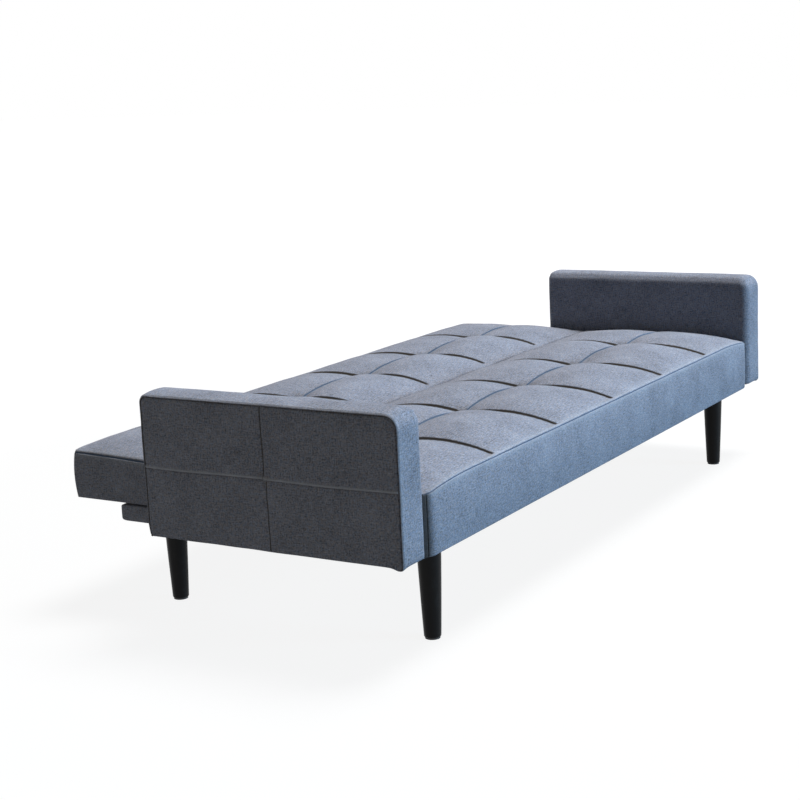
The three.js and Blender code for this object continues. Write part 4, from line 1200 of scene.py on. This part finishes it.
@dataclass
class StapledLining:
    """A sheet of black lining, stapled along its edges and slack between the rails.

    Attributes:
        node: the CAD node that it stands for.
        body: the body that it moves with.
        held_edges: how wide the fastened strips are along the front, rear and ends.
        sag: how far the slack part hangs.
        rails: the CAD nodes that it is stapled to; not used.
    """

    node: str
    body: Body
    held_edges: tuple[float, float, float]
    sag: float
    rails: tuple[str, ...]
    staple_pitch: float = 0.048
    staple_inset: float = 0.011
    staple_size: Point = (0.0105, 0.0013, 0.0007)
    pitch: float = 0.02
    beside: tuple[float, ...] = (0.002, 0.006, 0.012)

    def slack(self, x: Array, y: Array, low: Vector, high: Vector) -> Array:
        """How far the sheet hangs at each place."""
        front, rear, end = self.held_edges
        u = np.clip((x - low.x - end) / (high.x - low.x - 2 * end), 0, 1)
        v = np.clip((y - low.y - front) / (high.y - low.y - front - rear), 0, 1)
        return self.sag * swell(u, 6) * swell(v, 2) * (1 + 0.15 * ripple(x, y, 0.5, 0.2))

    def build(self) -> list[bpy.types.Object]:
        """Makes the sheet and its staples."""
        low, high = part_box(self.node)
        x = grid_lines([low.x, high.x], self.beside, self.pitch, [])
        y = grid_lines([low.y, high.y], self.beside, self.pitch, [])
        skin = BoxSkin((x, y, np.array([low.z, high.z])))
        points = skin.start.copy()
        points[:, 2] -= self.slack(points[:, 0], points[:, 1], low, high)
        sheet = make_piece(f"stapled_{self.node}", points, skin.quads.tolist(), LINING, self.body, (self.node,))
        return [sheet, self.staples(low, high)]

    def staples(self, low: Vector, high: Vector) -> bpy.types.Object:
        """Makes the row of staples along all four edges."""
        length, width, rise = self.staple_size
        wire = BoxSkin(tuple(np.linspace(-part / 2, part / 2, 5) for part in self.staple_size))
        crown = wire.start.copy()
        for out in (-1, 1):
            round_edge(crown, [(0, out * length / 2, out), (2, -rise / 2, -1)], rise)
            round_edge(crown, [(1, out * width / 2, out), (2, -rise / 2, -1)], rise / 2)
        points = []
        quads = []
        inset = self.staple_inset
        for axis, other in ((0, 1), (1, 0)):
            span = high[axis] - low[axis] - 4 * inset
            count = round(span / self.staple_pitch)
            for edge in (low[other] + inset, high[other] - inset):
                for index in range(count + 1):
                    lean = 0.25 * math.sin(index * 2.4 + other * 1.3 + edge)
                    spin = Matrix.Rotation(lean + axis * math.pi / 2, 3, "Z")
                    place = Vector((0, 0, low.z - rise / 2 - HAIR))
                    place[axis] = low[axis] + 2 * inset + span * index / count
                    place[other] = edge
                    quads.append(wire.quads + sum(len(part) for part in points))
                    points.append(crown @ np.array(spin).T + np.array(place))
        return make_piece(
            f"{self.node}_staples", np.concatenate(points), np.concatenate(quads).tolist(), STEEL, self.body,
        )


@dataclass
class TurnedLeg:
    """A round leg that tapers to its foot, with the stud that screws it in.

    Attributes:
        place: which leg it is, as in the CAD nodes' names.
    """

    place: str
    top_radius: float = 0.0255
    foot_radius: float = 0.018
    shoulder: float = 0.0012
    foot_edge: float = 0.0022
    belly: float = 0.0004
    stud_radius: float = 0.004
    stud_length: float = 0.028
    thread: float = 0.0003
    thread_pitch: float = 0.00125
    sides: int = 72

    def profile(self, low: float, high: float) -> list[tuple[float, float]]:
        """The leg's outline, from the middle of its foot to the tip of its stud.

        Args:
            low: the height of the foot.
            high: the height of the stud's tip.

        Returns:
            Radii and heights.
        """
        top = high - self.stud_length
        outline = [(0.0, low), (self.foot_radius * 0.5, low)]
        for step in range(7):
            angle = math.pi / 2 * step / 6
            reach = self.foot_edge * (math.sin(angle) - 1)
            outline.append((self.foot_radius + reach, low + self.foot_edge * (1 - math.cos(angle))))
        body_low, body_high = low + self.foot_edge, top - self.shoulder
        for step in range(1, 25):
            share = step / 24
            radius = self.foot_radius + (self.top_radius - self.foot_radius) * share
            bulge = self.belly * 4 * share * (1 - share)
            outline.append((radius + bulge, body_low + (body_high - body_low) * share))
        for step in range(1, 6):
            angle = math.pi / 2 * step / 5
            reach = self.shoulder * (1 - math.cos(angle))
            outline.append((self.top_radius - reach, body_high + self.shoulder * math.sin(angle)))
        turns = round(self.stud_length / self.thread_pitch * 2)
        for step in range(turns):
            radius = self.stud_radius - (self.thread if step % 2 else 0)
            outline.append((radius, top + self.stud_length * step / turns))
        outline += [(self.stud_radius - 2 * self.thread, high), (0.0, high)]
        return outline

    def build(self) -> bpy.types.Object:
        """Turns the leg."""
        node = f"leg_{self.place}"
        low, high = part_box(node)
        centre = (low + high) / 2
        outline = self.profile(low.z, high.z)
        angles = np.arange(self.sides) * math.tau / self.sides
        points = [(centre.x, centre.y, outline[0][1])]
        for radius, height in outline[1:-1]:
            ring = zip(centre.x + radius * np.cos(angles), centre.y + radius * np.sin(angles))
            points += [(x, y, height) for x, y in ring]
        points.append((centre.x, centre.y, outline[-1][1]))
        rings = len(outline) - 2
        tip = len(points) - 1
        faces = []
        for side in range(self.sides):
            after = (side + 1) % self.sides
            faces.append((0, 1 + after, 1 + side))
            for ring in range(rings - 1):
                base = 1 + ring * self.sides
                above = base + self.sides
                faces.append((base + side, base + after, above + after, above + side))
            last = 1 + (rings - 1) * self.sides
            faces.append((last + side, last + after, tip))
        return make_piece(f"turned_{node}", np.array(points), faces, LACQUER, Body.BASE, (node,))


@dataclass
class CarriedParts:
    """The CAD pieces that keep their shape and get their finish and eased edges."""

    timber_edge: float = 0.0015
    steel_edge: float = 0.0004
    rubber_edge: float = 0.002
    glide_edge: float = 0.0008
    long_boards: tuple[str, ...] = ("front_rail", "rear_rail")

    def dress(self, node: str) -> None:
        """Finishes one CAD piece.

        Args:
            node: its name.
        """
        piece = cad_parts[node]
        if "rail" in node or "panel" in node:
            grain = Grain.ALONG_X if node.endswith(self.long_boards) else Grain.ALONG_Y
            finish, edge = SawnTimber(grain=grain), self.timber_edge
        elif "webbing" in node:
            finish, edge = WEBBING, 0.0
        elif "rest_pad" in node:
            finish, edge = RUBBER, self.rubber_edge
        elif "glide" in node:
            finish, edge = PLASTIC, self.glide_edge
        else:
            finish, edge = STEEL, self.steel_edge
        finish.dress(piece)
        if edge:
            bevel = piece.modifiers.new("eased_edges", "BEVEL")
            bevel.width = edge
            bevel.segments = 2
            bevel.limit_method = "ANGLE"
            bevel.angle_limit = math.radians(40)
            bevel.harden_normals = False
        log.info("%s: finished", node)

    def build(self) -> None:
        """Finishes every CAD piece that still shows."""
        for name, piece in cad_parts.items():
            if not piece.hide_render:
                self.dress(name)


@dataclass(frozen=True)
class StudioLight:
    """A soft square light.

    Attributes:
        name: its name.
        place: where it stands.
        target: what it looks at.
        size: its edge length.
        power: its power in watts.
        colour: its colour.
    """

    name: str
    place: Point
    target: Point
    size: float
    power: float
    colour: Colour

    def build(self) -> None:
        """Hangs the light."""
        data = bpy.data.lights.new(self.name, "AREA")
        data.size = self.size
        data.energy = self.power
        data.color = self.colour
        lamp = bpy.data.objects.new(self.name, data)
        bpy.context.scene.collection.objects.link(lamp)
        lamp.location = self.place
        lamp.visible_camera = False
        lamp.rotation_euler = (Vector(self.target) - Vector(self.place)).to_track_quat("-Z", "Y").to_euler()


@dataclass(frozen=True)
class Studio:
    """The pale floor, the white surroundings, the lights and the camera."""

    lights: tuple[StudioLight, ...] = (
        StudioLight("ceiling_light", (2.7, -1.5, 9.5), (0.0, 0.0, 0.3), 4.0, 1190.0, (0.99, 1.0, 1.0)),
        StudioLight("front_light", (5.4, -18.0, 2.8), (0.0, -0.3, 0.3), 8.0, 4450.0, (0.48, 0.75, 1.0)),
        StudioLight("side_light", (-3.2, 0.1, 0.27), (-1.0, 0.0, 0.3), 0.5, 6.1, (1.0, 0.97, 0.9)),
        StudioLight("rear_light", (2.0, 5.0, 1.2), (0.0, 0.4, 0.3), 2.5, 40.0, (1.0, 0.98, 0.97)),
    )
    ambient: Colour = (1.0, 0.98, 0.96)
    ambient_strength: float = 0.05
    floor_size: float = 60.0
    floor_colour: Colour = (0.1, 0.1, 0.1)
    glow: float = 0.885
    glow_reach: tuple[float, float] = (1.7, 4.0)
    camera_place: Point = (-3.6021, -2.0805, 1.1647)
    heading: float = 31.784
    fall: float = 11.480
    roll: float = -2.753
    lens: float = 75.83

    @staticmethod
    def seen(tree: bpy.types.NodeTree) -> bpy.types.NodeSocket:
        """Where the surroundings are seen by eye, in a mirror or through glass."""
        path = tree.nodes.new("ShaderNodeLightPath")
        result = path.outputs["Is Camera Ray"]
        for name in ("Is Glossy Ray", "Is Transmission Ray"):
            joined = tree.nodes.new("ShaderNodeMath")
            joined.operation = "MAXIMUM"
            tree.links.new(result, joined.inputs[0])
            tree.links.new(path.outputs[name], joined.inputs[1])
            result = joined.outputs[0]
        return result

    def surround(self) -> None:
        """Makes the world white to the eye and dim as a light."""
        world = bpy.data.worlds.new("surroundings")
        bpy.context.scene.world = world
        world.use_nodes = True
        tree = world.node_tree
        light = tree.nodes["Background"]
        light.inputs["Color"].default_value = (*self.ambient, 1.0)
        light.inputs["Strength"].default_value = self.ambient_strength
        white = tree.nodes.new("ShaderNodeBackground")
        white.inputs["Color"].default_value = (1.0, 1.0, 1.0, 1.0)
        mixed = tree.nodes.new("ShaderNodeMixShader")
        tree.links.new(self.seen(tree), mixed.inputs[0])
        tree.links.new(light.outputs[0], mixed.inputs[1])
        tree.links.new(white.outputs[0], mixed.inputs[2])
        tree.links.new(mixed.outputs[0], tree.nodes["World Output"].inputs["Surface"])

    def lay_floor(self) -> None:
        """Lays the floor, which glows to the eye and still takes the sofa's shadow."""
        half = self.floor_size / 2
        mesh = bpy.data.meshes.new("floor")
        mesh.from_pydata([(-half, -half, 0), (half, -half, 0), (half, half, 0), (-half, half, 0)], [], [(0, 1, 2, 3)])
        floor = bpy.data.objects.new("floor", mesh)
        bpy.context.scene.collection.objects.link(floor)
        material = bpy.data.materials.new("floor")
        material.use_nodes = True
        tree = material.node_tree
        shader = tree.nodes["Principled BSDF"]
        shader.inputs["Base Color"].default_value = (*self.floor_colour, 1.0)
        shader.inputs["Roughness"].default_value = 1.0
        shader.inputs["Specular IOR Level"].default_value = 0.0
        shader.inputs["Emission Color"].default_value = (1.0, 1.0, 1.0, 1.0)
        distance = tree.nodes.new("ShaderNodeVectorMath")
        distance.operation = "LENGTH"
        tree.links.new(tree.nodes.new("ShaderNodeTexCoord").outputs["Object"], distance.inputs[0])
        glow = tree.nodes.new("ShaderNodeMapRange")
        tree.links.new(distance.outputs["Value"], glow.inputs["Value"])
        near, far = self.glow_reach
        for name, value in (("From Min", near), ("From Max", far), ("To Min", self.glow), ("To Max", 1.0)):
            glow.inputs[name].default_value = value
        scaled = tree.nodes.new("ShaderNodeMath")
        scaled.operation = "MULTIPLY"
        tree.links.new(self.seen(tree), scaled.inputs[0])
        tree.links.new(glow.outputs["Result"], scaled.inputs[1])
        tree.links.new(scaled.outputs[0], shader.inputs["Emission Strength"])
        mesh.materials.append(material)

    def set_camera(self) -> None:
        """Stands the camera where the photograph was taken."""
        data = bpy.data.cameras.new("camera")
        data.lens = self.lens
        data.sensor_width = 36.0
        camera = bpy.data.objects.new("camera", data)
        bpy.context.scene.collection.objects.link(camera)
        heading, fall = math.radians(self.heading), math.radians(self.fall)
        ahead = Vector((math.cos(fall) * math.cos(heading), math.cos(fall) * math.sin(heading), -math.sin(fall)))
        right = ahead.cross(Vector((0, 0, 1))).normalized()
        turn = Matrix.Rotation(math.radians(-self.roll), 3, ahead)
        right = turn @ right
        up = right.cross(ahead)
        camera.matrix_world = Matrix((
            (right.x, up.x, -ahead.x, self.camera_place[0]),
            (right.y, up.y, -ahead.y, self.camera_place[1]),
            (right.z, up.z, -ahead.z, self.camera_place[2]),
            (0, 0, 0, 1),
        ))
        bpy.context.scene.camera = camera

    def build(self) -> None:
        """Sets up the whole studio."""
        bpy.context.scene.view_settings.view_transform = "Standard"
        self.surround()
        self.lay_floor()
        self.set_camera()
        for light in self.lights:
            light.build()


SEAT = TuftedCushion(
    node="seat_cushion",
    body=Body.BASE,
    crowns=(0.006, 0.0),
    row_share=0.495,
    top_rolls=(0.005, 0.006),
    heel_roll=0.004,
    rear_rise=0.0,
    rear_arch_share=1.0,
    end_drop=0.002,
    droop=0.013,
    corner_radius=0.03,
    corner_shade=1.0,
    end_crown_share=0.0,
    seam_setbacks=(0.007, 0.014),
    outer_is_front=True,
    skirt=0.014,
    skirt_top=0.2388,
    cavity=(0.8891, 0.014, 0.491, 0.3026),
    pockets=((0.8888, 0.404, 1.0, 0.269, 0.3328),),
)
BACK = TuftedCushion(
    node="back_cushion",
    body=Body.BACKREST,
    crowns=(0.0, 0.008),
    row_share=0.513,
    top_rolls=(0.006, 0.005),
    heel_roll=0.02,
    rear_rise=0.009,
    rear_arch_share=0.55,
    end_drop=0.006,
    droop=0.003,
    corner_radius=0.008,
    corner_shade=0.0,
    end_crown_share=0.75,
    seam_setbacks=(0.014, -0.03),
    outer_is_front=False,
    skirt=0.0,
    skirt_top=0.243,
    cavity=(0.8926, 0.0085, 0.3915, 0.3026),
    pockets=((0.8881, -1.0, 0.042, 0.273, 1.0), (0.8923, 0.037, 0.1105, 0.269, 0.343)),
)


def main() -> None:
    """Builds the sofa bed piece by piece, then the studio round it."""
    logging.basicConfig(level=logging.INFO, format="%(message)s")
    for cushion in (SEAT, BACK):
        cushion.build()
    for side in Side:
        ArmCover(side).build()
    WrappedBase().build()
    StapledLining(
        "dust_cover", Body.BASE, (0.11, 0.11, 0.05), 0.006,
        ("base_front_rail", "base_rear_rail", "base_left_rail", "base_right_rail"),
    ).build()
    StapledLining(
        "back_lining", Body.BACKREST, (0.03, 0.03, 0.04), 0.0015,
        ("back_front_rail", "back_rear_rail", "back_left_rail", "back_right_rail"),
    ).build()
    for place in ("front_left", "front_right", "rear_left", "rear_right"):
        TurnedLeg(place).build()
    CarriedParts().build()
    Studio().build()


if __name__ == "__main__":
    main()
